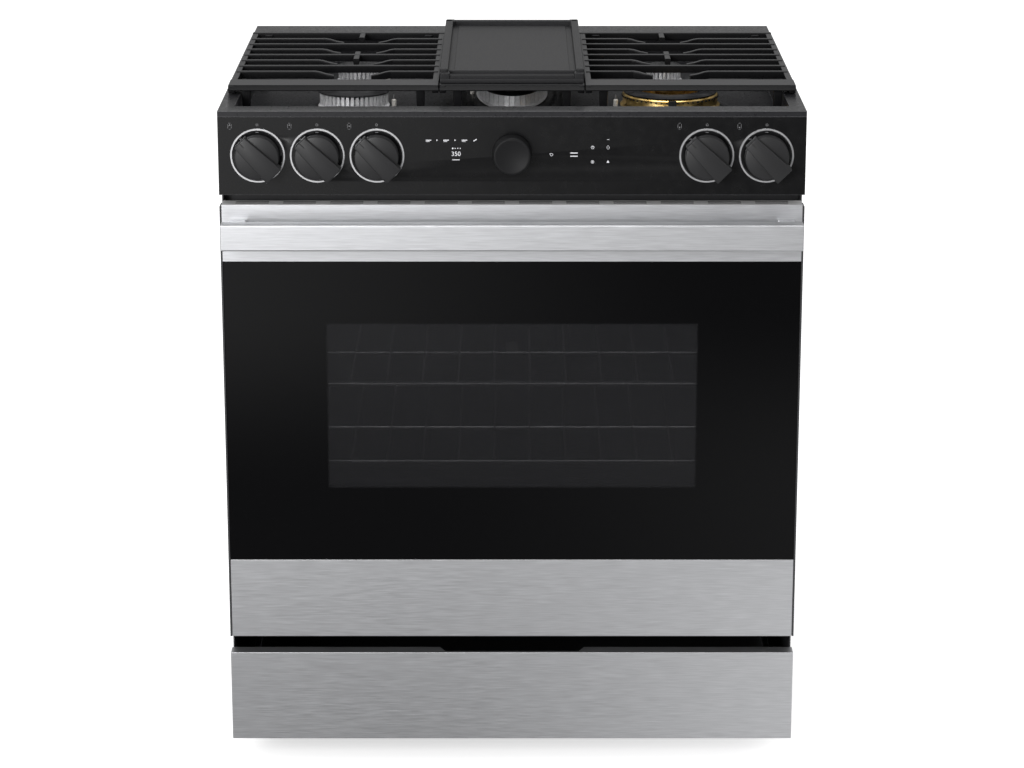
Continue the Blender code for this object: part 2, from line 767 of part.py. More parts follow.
def make_griddle(lift):
    half = CENTRE_GRATE / 2 - GRATE_GAP
    low = GRATE_TOP + SEAT
    high = low + GRIDDLE_HEIGHT
    griddle = piece(
        "griddle", box((-half, half), (GRIDDLE_FRONT, GRATE_BACK), (low, high)), "cast_iron", lift
    )
    inner = half - GRIDDLE_WALL
    pocket = box(
        (-inner, inner),
        (GRIDDLE_FRONT + GRIDDLE_LEDGE, GRATE_BACK - GRIDDLE_WALL),
        (low + GRIDDLE_FLOOR, high + 0.01),
    )
    step = box(
        (-half - 0.01, half + 0.01),
        (GRIDDLE_FRONT - 0.01, GRIDDLE_FRONT + GRIDDLE_LEDGE / 2),
        (low + GRIDDLE_FLOOR, high + 0.01),
    )
    cut(griddle, [pocket, step])


# Control panel, knobs and gas


def knob_places():
    outer = HALF - KNOB_EDGE
    return {
        "left_front": -outer,
        "left_rear": -outer + KNOB_PITCH,
        "centre": -outer + 2 * KNOB_PITCH,
        "right_rear": outer - KNOB_PITCH,
        "right_front": outer,
    }


def make_control_panel():
    z = KNOB_HEIGHT
    panel = piece(
        "control_panel",
        box((-HALF, HALF), (0, PANEL_DEPTH), (PANEL_BOTTOM, PANEL_TOP)),
        "black_glass",
    )
    inner = HALF - PANEL_SKIN
    hollow = box(
        (-inner, inner),
        (PANEL_SKIN, PANEL_DEPTH + 0.01),
        (PANEL_BOTTOM + PANEL_SKIN, PANEL_TOP - PANEL_SKIN),
    )
    cut(panel, [hollow])
    ring_back = PANEL_SKIN / 2
    rings = []
    bores = []
    for x in knob_places().values():
        at = (x, 0, z)
        rings.append(rod("Y", at, (-RING_HEIGHT, ring_back), RING_RADIUS))
        bores.append(rod("Y", at, (-0.01, 0), RING_RADIUS - RING_WIDTH))
        bores.append(rod("Y", at, (-0.005, 0.01), STEM_RADIUS + STEM_PLAY, sides=12))
    post = (0, 0, z + DIAL_ABOVE_KNOBS)
    join(panel, rings)
    cut(panel, bores)
    join(panel, [rod("Y", post, (-DIAL_FRONT / 2, PANEL_SKIN - 0.001), POST_RADIUS, sides=16)])


def make_knobs():
    z = KNOB_HEIGHT
    for name, x in knob_places().items():
        at = (x, 0, z)
        push = mover(f"valve_stem_{name}_axis", at)
        piece(
            f"valve_stem_{name}",
            rod("Y", at, (-STEM_FRONT, STEM_BACK), STEM_RADIUS, sides=16),
            "zinc",
            push,
            True,
        )
        turn = mover(f"knob_{name}_axis", at, push)
        knob = piece(
            f"knob_{name}",
            rod("Y", at, (-KNOB_DISC_FRONT, -KNOB_BACK), KNOB_RADIUS - 0.001, KNOB_RADIUS, sides=32),
            "knob_black",
            turn,
            True,
        )
        half_tail = GRIP_TAIL_WIDTH / 2
        grip = box((x - GRIP_TAIL, x + GRIP_TIP), (-GRIP_FRONT, -GRIP_BACK), (z - half_tail, z + half_tail))
        for corner in grip.verts:
            if corner.co.x > x:
                corner.co.z = z + (corner.co.z - z) * GRIP_TIP_WIDTH / GRIP_TAIL_WIDTH
        about(grip, at, Matrix.Rotation(-GRIP_ANGLE, 4, "Y"))
        join(knob, [grip])
        bore = rod("Y", at, (-STEM_FRONT - STEM_PLAY, 0), STEM_RADIUS + STEM_PLAY, sides=16)
        cut(knob, [bore])
    at = (0, 0, z + DIAL_ABOVE_KNOBS)
    dial = piece(
        "oven_dial",
        rod("Y", at, (-DIAL_FRONT, -DIAL_BACK), DIAL_FACE_RADIUS, DIAL_BASE_RADIUS, sides=40),
        "knob_black",
        mover("oven_dial_axis", at),
        True,
    )
    bore = rod("Y", at, (-DIAL_FRONT / 2 - STEM_PLAY, 0), POST_RADIUS + STEM_PLAY, sides=16)
    cut(dial, [bore])


def make_manifold():
    z = KNOB_HEIGHT
    places = knob_places()
    supply_x = HALF - SUPPLY_INSET
    ends = (min(places.values()) - 0.02, max(places.values()) + 0.02)
    pipe = rod("X", (0, PIPE_DEPTH, z), ends, PIPE_RADIUS, sides=12)
    manifold = piece("gas_manifold", pipe, "zinc", None, True)
    valves = [
        rod("Y", (x, 0, z), (VALVE_FRONT, PIPE_DEPTH), VALVE_RADIUS, sides=12) for x in places.values()
    ]
    supply_end = BODY_BACK + SUPPLY_STUB
    valves.append(rod("Y", (supply_x, 0, z), (PIPE_DEPTH, supply_end), PIPE_RADIUS, sides=12))
    join(manifold, valves)
    bore_end = STEM_BACK + PUSH_TRAVEL + 0.002
    bores = [
        rod("Y", (x, 0, z), (VALVE_FRONT - 0.01, bore_end), STEM_RADIUS + STEM_PLAY, sides=12)
        for x in places.values()
    ]
    inlet = (supply_end - 0.02, supply_end + 0.01)
    bores.append(rod("Y", (supply_x, 0, z), inlet, PIPE_RADIUS - 0.003, sides=12))
    cut(manifold, bores)


# Door


def make_door(hinge):
    shell = piece(
        "door_shell",
        box((-HALF, HALF), (0, SHELL_DEPTH), (DOOR_BOTTOM, DOOR_TOP - SHEET - SEAT)),
        "body_paint",
        hinge,
    )
    plate_front = GLASS + SEAT
    plate_back = plate_front + SHELL_PLATE
    edge = HALF - SHELL_EDGE
    strip_low = DOOR_TOP - TOP_STRIP
    panel_high = DOOR_BOTTOM + LOWER_STRIP
    tall = (DOOR_BOTTOM - 0.01, DOOR_TOP + 0.01)
    cuts = [
        box((-edge, edge), (-0.01, plate_front), tall),
        box((-edge, edge), (plate_back, SHELL_DEPTH + 0.01), (DOOR_BOTTOM + SHEET, DOOR_TOP - 3 * SHEET)),
        box(
            (-WINDOW_HALF - 3 * PANE_LAP, WINDOW_HALF + 3 * PANE_LAP),
            (0, SHELL_DEPTH),
            (DOOR_BOTTOM + WINDOW_ABOVE - 3 * PANE_LAP, DOOR_TOP - WINDOW_BELOW + 3 * PANE_LAP),
        ),
    ]
    notch_half = BARREL_HALF + 0.003
    notch = 2 * BARREL_RADIUS
    for side in (-1, 1):
        x = side * (HALF - HINGE_INSET)
        cuts.append(
            box(
                (x - notch_half, x + notch_half),
                (PIVOT_DEPTH - notch, SHELL_DEPTH + 0.01),
                (DOOR_BOTTOM - 0.01, PIVOT_Z + notch),
            )
        )
    cut(shell, cuts)
    glass_z = (panel_high + SEAT, strip_low - SEAT)
    piece("door_outer_glass", box((-SKIN_HALF, SKIN_HALF), (0, GLASS), glass_z), "black_glass", hinge)
    piece(
        "door_lower_panel",
        box((-SKIN_HALF, SKIN_HALF), (0, GLASS), (DOOR_BOTTOM, panel_high)),
        "brushed_steel",
        hinge,
    )
    trim = piece(
        "door_top_trim",
        box((-SKIN_HALF, SKIN_HALF), (0, GLASS), (strip_low, DOOR_TOP)),
        "brushed_steel",
        hinge,
    )
    join(
        trim,
        [box((-SKIN_HALF, SKIN_HALF), (GLASS / 2, TOP_RETURN), (DOOR_TOP - SHEET, DOOR_TOP - SHEET / 40))],
    )
    slots = []
    count = int(2 * SKIN_HALF / SLOT_PITCH)
    for row in SLOT_ROWS:
        for number in range(count):
            x = (number - (count - 1) / 2) * SLOT_PITCH
            across = (x - SLOT_LENGTH / 2, x + SLOT_LENGTH / 2)
            y = (row - SLOT_WIDTH / 2, row + SLOT_WIDTH / 2)
            slots.append(box(across, y, (DOOR_TOP - 0.01, DOOR_TOP + 0.01)))
    cut(trim, slots)
    make_liner(hinge)
    make_handle(hinge)


def make_liner(hinge):
    half = HALF - LINER_INSET
    low, high = DOOR_BOTTOM + LINER_BOTTOM, DOOR_TOP - LINER_TOP
    front = SHELL_DEPTH + SEAT
    liner = piece("door_liner", box((-half, half), (front, LINER_DEPTH), (low, high)), "oven_enamel", hinge)
    window = (DOOR_BOTTOM + WINDOW_ABOVE, DOOR_TOP - WINDOW_BELOW)
    cut(
        liner,
        [
            box(
                (-half + SHEET, half - SHEET),
                (front - 0.01, LINER_DEPTH - SHEET),
                (low + SHEET, high - SHEET),
            ),
            box((-WINDOW_HALF, WINDOW_HALF), (front, LINER_DEPTH + 0.01), window),
        ],
    )
    pane_half = WINDOW_HALF + PANE_LAP
    pane_back = LINER_DEPTH - SHEET - SEAT
    pane_z = (window[0] - PANE_LAP, window[1] + PANE_LAP)
    pane = box((-pane_half, pane_half), (pane_back - GLASS, pane_back), pane_z)
    piece("door_inner_glass", pane, "window_glass", hinge)


def make_handle(hinge):
    half = HALF - BAR_END
    bar_back = BAR_DEPTH - HANDLE_REACH
    bar_z = (DOOR_TOP - BAR_BELOW_TOP - BAR_HEIGHT, DOOR_TOP - BAR_BELOW_TOP)
    bar = piece("door_handle", box((-half, half), (-HANDLE_REACH, bar_back), bar_z), "brushed_steel", hinge)
    round_edges(bar, 0.002)
    post_z = (bar_z[0] + POST_SHORTER, bar_z[1] - POST_SHORTER)
    for name, side in (("handle_post_left", -1), ("handle_post_right", 1)):
        x = side * (half - POST_INSET)
        post = box((x - POST_WIDTH / 2, x + POST_WIDTH / 2), (bar_back + SEAT, -SEAT), post_z)
        piece(name, post, "brushed_steel", hinge)


# Drawer


def make_drawer(slide):
    front = piece(
        "drawer_front",
        box((-HALF, HALF), (0, DRAWER_RETURN), (FOOT_HEIGHT, DRAWER_TOP)),
        "brushed_steel",
        slide,
    )
    inner = HALF - DRAWER_SKIN
    notch = box(
        (-NOTCH_HALF, NOTCH_HALF),
        (NOTCH_START, DRAWER_RETURN + 0.01),
        (DRAWER_TOP - 2 * DRAWER_SKIN, DRAWER_TOP + 0.01),
    )
    for corner in notch.verts:
        if corner.co.y < FRONT_Y + DRAWER_RETURN:
            corner.co.x -= math.copysign(NOTCH_SLOPE, corner.co.x)
    hollow = box(
        (-inner, inner),
        (DRAWER_SKIN, DRAWER_RETURN + 0.01),
        (FOOT_HEIGHT + DRAWER_SKIN, DRAWER_TOP - DRAWER_SKIN),
    )
    cut(front, [hollow, notch])
    rail_inner = BODY_HALF - RAIL_INSET - RAIL_WIDTH
    half = rail_inner - RUNNER
    back = BODY_BACK - TRAY_BACK_INSET
    y = (DRAWER_RETURN + SEAT, back)
    tray = piece("drawer_box", box((-half, half), y, (TRAY_FLOOR, TRAY_TOP)), "body_paint", slide)
    runners = []
    for side in (-1, 1):
        x = sorted((side * (half - SHEET / 2), side * (rail_inner + RAIL_WIDTH)))
        runner_z = (RAIL_TOP + SEAT, RAIL_TOP + SEAT + RUNNER)
        runners.append(box(x, (FRAME_FRONT + 0.012, back - 0.01), runner_z))
    join(tray, runners)
    inside = box(
        (-half + SHEET, half - SHEET), (y[0] + SHEET, back - SHEET), (TRAY_FLOOR + SHEET, TRAY_TOP + 0.01)
    )
    cut(tray, [inside])


def make_range():
    grate_left = -HALF + GRATE_EDGE
    centre_half = CENTRE_GRATE / 2
    side_x = HALF - BURNER_EDGE
    rear = PAN_BACK - REAR_BURNER_INSET
    middle = (GRATE_FRONT + GRATE_BACK) / 2 + CENTRE_BURNER_SHIFT
    burners = (
        # name, x, depth, cap's radius, stretch along the depth
        ("left_front", -side_x, FRONT_BURNER, 0.0485, 1),
        ("left_rear", -side_x, rear, 0.033, 1),
        ("centre", 0, middle, OVAL_HALF, OVAL_STRETCH),
        ("right_rear", side_x, rear, 0.026, 1),
        ("right_front", side_x, FRONT_BURNER, 0.068, 1),
    )
    make_body()
    make_front_frame()
    make_cavity()
    make_oven_burners()
    make_fan()
    for name, shelf in (("oven_rack_upper", UPPER_SHELF), ("oven_rack_lower", LOWER_SHELF)):
        make_rack(name, shelf, mover(f"{name}_slide", (0, RACK_FRONT, shelf_height(shelf))))
    make_cooktop(burners)
    for burner in burners:
        make_burner(*burner)
    lifts = {
        name: mover(f"{name}_lift", (x, GRATE_FRONT, GRATE_TOP))
        for name, x in (("grate_left", -side_x), ("grate_centre", 0), ("grate_right", side_x))
    }
    make_grate("grate_left", grate_left, -centre_half - GRATE_GAP / 2, lifts["grate_left"], -side_x)
    centre_end = centre_half - GRATE_GAP / 2
    make_grate("grate_centre", -centre_end, centre_end, lifts["grate_centre"])
    make_grate("grate_right", centre_half + GRATE_GAP / 2, -grate_left, lifts["grate_right"], side_x)
    make_griddle(mover("griddle_lift", (0, GRIDDLE_FRONT, GRATE_TOP), lifts["grate_centre"]))
    make_control_panel()
    make_knobs()
    make_manifold()
    make_door(mover("door_hinge", (0, PIVOT_DEPTH, PIVOT_Z)))
    make_drawer(mover("drawer_slide", (0, 0, FOOT_HEIGHT)))


make_range()
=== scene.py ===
# %% [markdown]
# # A freestanding gas range
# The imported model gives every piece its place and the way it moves. This notebook adds the looks: rounded
# sheet metal, cast grates, turned burners and knobs, and a finish for each material. All sizes are in
# metres.

import json
import math

import bmesh
import bpy
from mathutils import Matrix, Vector


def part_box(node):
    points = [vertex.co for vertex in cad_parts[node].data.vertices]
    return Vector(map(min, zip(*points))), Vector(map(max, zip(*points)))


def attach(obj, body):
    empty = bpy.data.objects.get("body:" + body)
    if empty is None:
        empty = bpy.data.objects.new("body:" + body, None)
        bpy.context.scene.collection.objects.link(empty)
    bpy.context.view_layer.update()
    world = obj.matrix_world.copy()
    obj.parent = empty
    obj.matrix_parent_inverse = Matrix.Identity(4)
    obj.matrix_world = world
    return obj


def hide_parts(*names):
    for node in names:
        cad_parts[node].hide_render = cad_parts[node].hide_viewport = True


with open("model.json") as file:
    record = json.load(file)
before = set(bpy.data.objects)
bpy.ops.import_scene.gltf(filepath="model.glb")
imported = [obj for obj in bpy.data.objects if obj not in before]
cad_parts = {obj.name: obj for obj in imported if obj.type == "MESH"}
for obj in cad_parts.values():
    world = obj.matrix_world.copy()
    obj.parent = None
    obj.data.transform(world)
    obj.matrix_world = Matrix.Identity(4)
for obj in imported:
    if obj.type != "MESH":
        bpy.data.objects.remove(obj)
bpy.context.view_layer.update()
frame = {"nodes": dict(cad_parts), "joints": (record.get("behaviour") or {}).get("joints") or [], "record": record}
scene = bpy.context.scene
nodes = frame["nodes"]
body_of = {n: b for b, members in frame["record"]["behaviour"]["bodies"].items() for n in members}
joints = {joint["name"]: joint for joint in frame["joints"]}
front_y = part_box("door_outer_glass")[0].y
pan_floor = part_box("grate_left")[0].z
print("front plane at", round(front_y, 4), "pan floor at", round(pan_floor, 4), "and", len(nodes), "nodes")

# %% [markdown]
# ## The camera
# The camera looks down at the range from straight ahead. It is a plain camera with no shift: it is
# tilted, so the upright edges lean together a little towards the floor. A long lens from four metres
# keeps that lean small.

# %% Camera
CAMERA_DISTANCE = 4.0
CAMERA_HEIGHT = 1.680
CAMERA_TILT = 0.2773
CAMERA_LENS = 111.0


def make_camera():
    data = bpy.data.cameras.new("camera")
    camera = bpy.data.objects.new("camera", data)
    scene.collection.objects.link(camera)
    data.sensor_width = 36.0
    data.lens = CAMERA_LENS
    data.clip_start = 0.05
    data.clip_end = 100.0
    camera.location = (0, front_y - CAMERA_DISTANCE, CAMERA_HEIGHT)
    camera.rotation_euler = (math.pi / 2 - CAMERA_TILT, 0, 0)
    scene.camera = camera


make_camera()
print("lens", CAMERA_LENS, "mm")

# %% [markdown]
# ## Finishes
# Each finish starts from the Principled shader. Its even values are set on the shader itself. What varies
# over the surface, such as brush lines, casting grit or orange peel, comes from noise on Object
# coordinates, so that it has a real size and stays on the piece when the piece moves.

# %% Helpers for finishes


def finish(name, colour, metallic, roughness, **more):
    """A material with even values. more holds other sockets, with underscores for spaces."""
    material = bpy.data.materials.new(name)
    material.use_nodes = True
    shader = material.node_tree.nodes["Principled BSDF"]
    shader.inputs["Base Color"].default_value = (*colour, 1.0)
    shader.inputs["Metallic"].default_value = metallic
    shader.inputs["Roughness"].default_value = roughness
    for socket, value in more.items():
        shader.inputs[socket.replace("_", " ")].default_value = value
    return material


def noise(material, stretch, detail=3.0):
    """A noise texture on Object coordinates. stretch is its number of cells per metre along X, Y and Z."""
    tree = material.node_tree
    place = tree.nodes.new("ShaderNodeTexCoord")
    mapping = tree.nodes.new("ShaderNodeMapping")
    mapping.inputs["Scale"].default_value = stretch
    texture = tree.nodes.new("ShaderNodeTexNoise")
    texture.inputs["Scale"].default_value = 1.0
    texture.inputs["Detail"].default_value = detail
    tree.links.new(place.outputs["Object"], mapping.inputs["Vector"])
    tree.links.new(mapping.outputs["Vector"], texture.inputs["Vector"])
    return texture


def vary(material, texture, socket, low, high, start=0.3, end=0.7):
    """Lets the noise move a number or a colour of the shader between two values."""
    tree = material.node_tree
    target = tree.nodes["Principled BSDF"].inputs[socket]
    if isinstance(low, tuple):
        ramp = tree.nodes.new("ShaderNodeValToRGB")
        ramp.color_ramp.elements[0].position = start
        ramp.color_ramp.elements[1].position = end
        ramp.color_ramp.elements[0].color = (*low, 1.0)
        ramp.color_ramp.elements[1].color = (*high, 1.0)
        tree.links.new(texture.outputs["Fac"], ramp.inputs["Fac"])
        tree.links.new(ramp.outputs["Color"], target)
        return
    scale = tree.nodes.new("ShaderNodeMapRange")
    scale.inputs["From Min"].default_value = start
    scale.inputs["From Max"].default_value = end
    scale.inputs["To Min"].default_value = low
    scale.inputs["To Max"].default_value = high
    tree.links.new(texture.outputs["Fac"], scale.inputs["Value"])
    tree.links.new(scale.outputs["Result"], target)


def bump(material, texture, strength, depth):
    tree = material.node_tree
    relief = tree.nodes.new("ShaderNodeBump")
    relief.inputs["Strength"].default_value = strength
    relief.inputs["Distance"].default_value = depth
    tree.links.new(texture.outputs["Fac"], relief.inputs["Height"])
    tree.links.new(relief.outputs["Normal"], tree.nodes["Principled BSDF"].inputs["Normal"])


print("helpers for finishes ready")


# %% [markdown]
# ### Brushed steel
# The brush runs from side to side, so its noise is drawn out along X and very fine along Z. It changes
# the colour a little and the roughness more, and gives a faint relief that breaks up reflections.

# %% Brushed steel
steel = finish("brushed_steel", (0.55, 0.555, 0.57), 1.0, 0.42)
brush = noise(steel, (34, 900, 1100), 3.0)
vary(steel, brush, "Base Color", (0.525, 0.53, 0.545), (0.625, 0.63, 0.648))
vary(steel, brush, "Roughness", 0.39, 0.46)
bump(steel, brush, 0.02, 0.0001)

# A paler, nearly non-metal copy of the steel for the top face of the door's trim: a painted highlight.
painted_lit_steel = finish("painted_lit_steel", (0.46, 0.46, 0.46), 0.1, 0.55)
vary(painted_lit_steel, noise(painted_lit_steel, (34, 300, 300), 3.0), "Base Color", (0.42, 0.42, 0.42), (0.50, 0.50, 0.50))

dull_steel = finish("plated_steel", (0.42, 0.42, 0.43), 1.0, 0.42)
spangle = noise(dull_steel, (60, 60, 60), 5.0)
vary(dull_steel, spangle, "Base Color", (0.34, 0.34, 0.35), (0.50, 0.50, 0.51))
vary(dull_steel, spangle, "Roughness", 0.34, 0.52)
bump(dull_steel, spangle, 0.08, 0.0004)
print("steels made")

# %% [markdown]
# ### Enamel, paint and plastic
# Porcelain enamel has a soft orange peel. The rounded edges of the cooktop and the control panel get a
# lighter and shinier finish, a painted highlight. The oven's enamel is fired with pale specks. Paint on the
# sheet sides is duller, and the moulded knobs are duller still, with a fine spark-eroded texture.

# %% Enamel, paint and plastic
enamel = finish("black_enamel", (0.009, 0.009, 0.0105), 0.0, 0.30, Specular_IOR_Level=0.24)
peel = noise(enamel, (220, 220, 220), 2.0)
vary(enamel, peel, "Roughness", 0.26, 0.40)
bump(enamel, peel, 0.06, 0.0003)

# A lighter, shinier finish for the rounded edges: a painted highlight along them.
painted_edge_highlight = finish("painted_edge_highlight", (0.055, 0.055, 0.058), 0.0, 0.24, Specular_IOR_Level=0.5)
vary(painted_edge_highlight, noise(painted_edge_highlight, (260, 260, 260), 2.0), "Roughness", 0.20, 0.32)

panel_black = finish("panel_black", (0.0035, 0.0035, 0.0038), 0.0, 0.24, Specular_IOR_Level=0.22)
film = noise(panel_black, (90, 90, 90), 4.0)
vary(panel_black, film, "Roughness", 0.20, 0.29)
bump(panel_black, film, 0.02, 0.0002)

oven_enamel = finish("oven_enamel", (0.05, 0.052, 0.06), 0.0, 0.30, Specular_IOR_Level=0.4)
specks = noise(oven_enamel, (900, 900, 900), 1.0)
vary(oven_enamel, specks, "Base Color", (0.035, 0.037, 0.045), (0.30, 0.31, 0.34), 0.62, 0.74)
bump(oven_enamel, noise(oven_enamel, (150, 150, 150), 2.0), 0.06, 0.0004)

paint = finish("body_paint", (0.026, 0.026, 0.028), 0.0, 0.42, Specular_IOR_Level=0.35)
mist = noise(paint, (320, 320, 320), 3.0)
vary(paint, mist, "Roughness", 0.36, 0.50)
bump(paint, mist, 0.10, 0.0003)

knob_black = finish("knob_black", (0.0105, 0.0105, 0.0112), 0.0, 0.40, Specular_IOR_Level=0.30)
spark = noise(knob_black, (1400, 1400, 1400), 3.0)
vary(knob_black, spark, "Roughness", 0.34, 0.48)
bump(knob_black, spark, 0.12, 0.0001)

dial_black = finish("dial_black", (0.006, 0.006, 0.0065), 0.0, 0.50, Specular_IOR_Level=0.12)
vary(dial_black, noise(dial_black, (1400, 1400, 1400), 3.0), "Roughness", 0.46, 0.56)

white_print = finish("panel_print", (0.48, 0.48, 0.50), 0.0, 0.5)
vary(white_print, noise(white_print, (2500, 2500, 2500), 2.0), "Roughness", 0.42, 0.58)
grey_print = finish("knob_print", (0.13, 0.13, 0.135), 0.0, 0.55)
vary(grey_print, noise(grey_print, (2500, 2500, 2500), 2.0), "Roughness", 0.48, 0.62)
ceramic = finish("igniter_ceramic", (0.62, 0.60, 0.55), 0.0, 0.45)
vary(ceramic, noise(ceramic, (500, 500, 500), 3.0), "Base Color", (0.52, 0.50, 0.46), (0.68, 0.66, 0.62))
gasket = finish("gasket_fibre", (0.05, 0.05, 0.05), 0.0, 0.9)
weave = noise(gasket, (900, 900, 900), 2.0)
vary(gasket, weave, "Base Color", (0.03, 0.03, 0.03), (0.10, 0.10, 0.10))
bump(gasket, weave, 0.5, 0.0008)
print("enamels, paint and plastics made")

# %% [markdown]
# ### Cast iron, alloy, brass and chrome
# Cast iron shows sand grit in its shine and in its relief, under a dull coating. Grate bars have a lighter,
# shinier iron on their top faces, a painted highlight. The burner alloy is cast and then wiped bright. Brass
# darkens with heat in soft patches. The wires are plain bright chrome with faint drawing marks.

# %% Cast iron, alloy, brass and chrome
def cast_surface(name, dark, light, shine):
    material = finish(name, dark, 0.0, 0.46, Specular_IOR_Level=shine)
    grit = noise(material, (900, 900, 900), 5.0)
    vary(material, grit, "Base Color", dark, light)
    vary(material, grit, "Roughness", 0.34, 0.50)
    bump(material, grit, 0.22, 0.0004)
    return material


iron = cast_surface("cast_iron", (0.002, 0.002, 0.0023), (0.006, 0.006, 0.0066), 0.09)
# A lighter, shinier copy of the iron for the top faces of the grate bars: a painted highlight.
painted_lit_iron = cast_surface("painted_lit_iron", (0.016, 0.016, 0.017), (0.028, 0.028, 0.0295), 0.30)
coated_iron = cast_surface("coated_iron", (0.011, 0.011, 0.0118), (0.019, 0.019, 0.0202), 0.14)

alloy = finish("burner_alloy", (0.86, 0.86, 0.88), 0.45, 0.40)
wiped = noise(alloy, (260, 260, 260), 4.0)
vary(alloy, wiped, "Base Color", (0.78, 0.78, 0.80), (0.95, 0.95, 0.96))
vary(alloy, wiped, "Roughness", 0.36, 0.54)
bump(alloy, wiped, 0.15, 0.0003)

brass = finish("burner_brass", (0.62, 0.42, 0.15), 1.0, 0.26)
heat = noise(brass, (70, 70, 160), 4.0)
vary(brass, heat, "Base Color", (0.72, 0.46, 0.13), (0.98, 0.74, 0.32))
vary(brass, heat, "Roughness", 0.24, 0.42)
bump(brass, heat, 0.10, 0.0003)

chrome = finish("chrome_wire", (0.44, 0.44, 0.46), 1.0, 0.28)
drawn = noise(chrome, (300, 300, 300), 2.0)
vary(chrome, drawn, "Roughness", 0.22, 0.34)
satin = finish("ring_satin", (0.48, 0.48, 0.49), 1.0, 0.42)
turned = noise(satin, (500, 500, 500), 3.0)
vary(satin, turned, "Roughness", 0.36, 0.50)
bump(satin, turned, 0.05, 0.0001)
# Black that stands for the shade inside holes, slots and notches: painted shade.
painted_hollow_shade = finish("port_shadow", (0.003, 0.003, 0.003), 0.0, 0.8)
vary(painted_hollow_shade, noise(painted_hollow_shade, (400, 400, 400), 2.0), "Roughness", 0.7, 0.9)
print("metals made")

# %% [markdown]
# ### Glass
# The door's outer glass is printed black on its inner side, except for the window, which is a lighter
# tint. One material does both: its alpha falls inside a soft-edged rectangle, measured in metres on the
# door. The rectangle is the inner pane's own size, so print and pane stay in line.

# %% Glass
WINDOW_LAP = 0.008  # the inner pane is this much larger than the window, all round
WINDOW_SOFT = 0.004


def window_mask(material):
    """1 inside the window and 0 outside, from the Object X and Z coordinates."""
    low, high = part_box("door_inner_glass")
    tree = material.node_tree
    place = tree.nodes.new("ShaderNodeTexCoord")
    apart = tree.nodes.new("ShaderNodeSeparateXYZ")
    tree.links.new(place.outputs["Object"], apart.inputs["Vector"])
    sides = []
    for axis, number in (("X", 0), ("Z", 2)):
        middle = (low[number] + high[number]) / 2
        half = (high[number] - low[number]) / 2 - WINDOW_LAP
        offset = tree.nodes.new("ShaderNodeMath")
        offset.operation = "SUBTRACT"
        offset.inputs[1].default_value = middle
        size = tree.nodes.new("ShaderNodeMath")
        size.operation = "ABSOLUTE"
        edge = tree.nodes.new("ShaderNodeMapRange")
        edge.interpolation_type = "SMOOTHSTEP"
        edge.inputs["From Min"].default_value = half - WINDOW_SOFT
        edge.inputs["From Max"].default_value = half
        edge.inputs["To Min"].default_value = 1.0
        edge.inputs["To Max"].default_value = 0.0
        tree.links.new(apart.outputs[axis], offset.inputs[0])
        tree.links.new(offset.outputs[0], size.inputs[0])
        tree.links.new(size.outputs[0], edge.inputs["Value"])
        sides.append(edge.outputs["Result"])
    both = tree.nodes.new("ShaderNodeMath")
    both.operation = "MULTIPLY"
    tree.links.new(sides[0], both.inputs[0])
    tree.links.new(sides[1], both.inputs[1])
    return both


black_glass = finish("black_glass", (0.0015, 0.0015, 0.0017), 0.0, 0.06, Specular_IOR_Level=0.12)
mask = window_mask(black_glass)
window_ramp = black_glass.node_tree.nodes.new("ShaderNodeValToRGB")
window_ramp.color_ramp.elements[0].color = (0.0015, 0.0015, 0.0017, 1.0)
window_ramp.color_ramp.elements[1].color = (0.010, 0.010, 0.0108, 1.0)
see_through = black_glass.node_tree.nodes.new("ShaderNodeMapRange")
see_through.inputs["To Min"].default_value = 1.0
see_through.inputs["To Max"].default_value = 0.55
glass_shader = black_glass.node_tree.nodes["Principled BSDF"]
black_glass.node_tree.links.new(mask.outputs[0], window_ramp.inputs["Fac"])
black_glass.node_tree.links.new(window_ramp.outputs["Color"], glass_shader.inputs["Base Color"])
black_glass.node_tree.links.new(mask.outputs[0], see_through.inputs["Value"])
black_glass.node_tree.links.new(see_through.outputs["Result"], glass_shader.inputs["Alpha"])

inner_glass = finish("window_glass", (0.03, 0.03, 0.032), 0.0, 0.05, Alpha=0.25, Specular_IOR_Level=0.3)
vary(inner_glass, noise(inner_glass, (12, 12, 12), 2.0), "Roughness", 0.03, 0.08)
print("glass made")

# %% [markdown]
# ## Making pieces
# A piece is built in a bmesh with its place in its points. `keep` turns it into an object at the origin,
# shades it smooth up to an angle, and lets it ride on its body. `lathe` turns a profile with Spin. `bar`
# is a rounded block. `sweep` draws a round or flat section along a path by extruding its end face from
# point to point.

# %% Helpers for pieces
SMOOTH_ANGLE = math.radians(38)


def keep(name, shape, materials, body, replaces=(), clean=True):
    if clean:
        bmesh.ops.remove_doubles(shape, verts=shape.verts, dist=1e-6)
        bmesh.ops.recalc_face_normals(shape, faces=shape.faces)
    mesh = bpy.data.meshes.new(name)
    shape.to_mesh(mesh)
    shape.free()
    for material in materials if isinstance(materials, (list, tuple)) else [materials]:
        mesh.materials.append(material)
    mesh.shade_smooth()
    mesh.set_sharp_from_angle(angle=SMOOTH_ANGLE)
    piece = bpy.data.objects.new(name, mesh)
    scene.collection.objects.link(piece)
    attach(piece, body)
    if replaces:
        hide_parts(*replaces)
    return piece


def even_shading(piece):
    """Keeps the flat faces of a block flat right up to its rounded edges."""
    even = piece.modifiers.new("Even shading", "WEIGHTED_NORMAL")
    even.keep_sharp = True

print("pieces are kept with a smooth angle of", round(math.degrees(SMOOTH_ANGLE)), "degrees")

# %% [markdown]
# Three ways of shaping cover nearly every piece: a block with rounded edges, a turned profile, and a
# section drawn along a path.

# %% Bars, turnings and sweeps


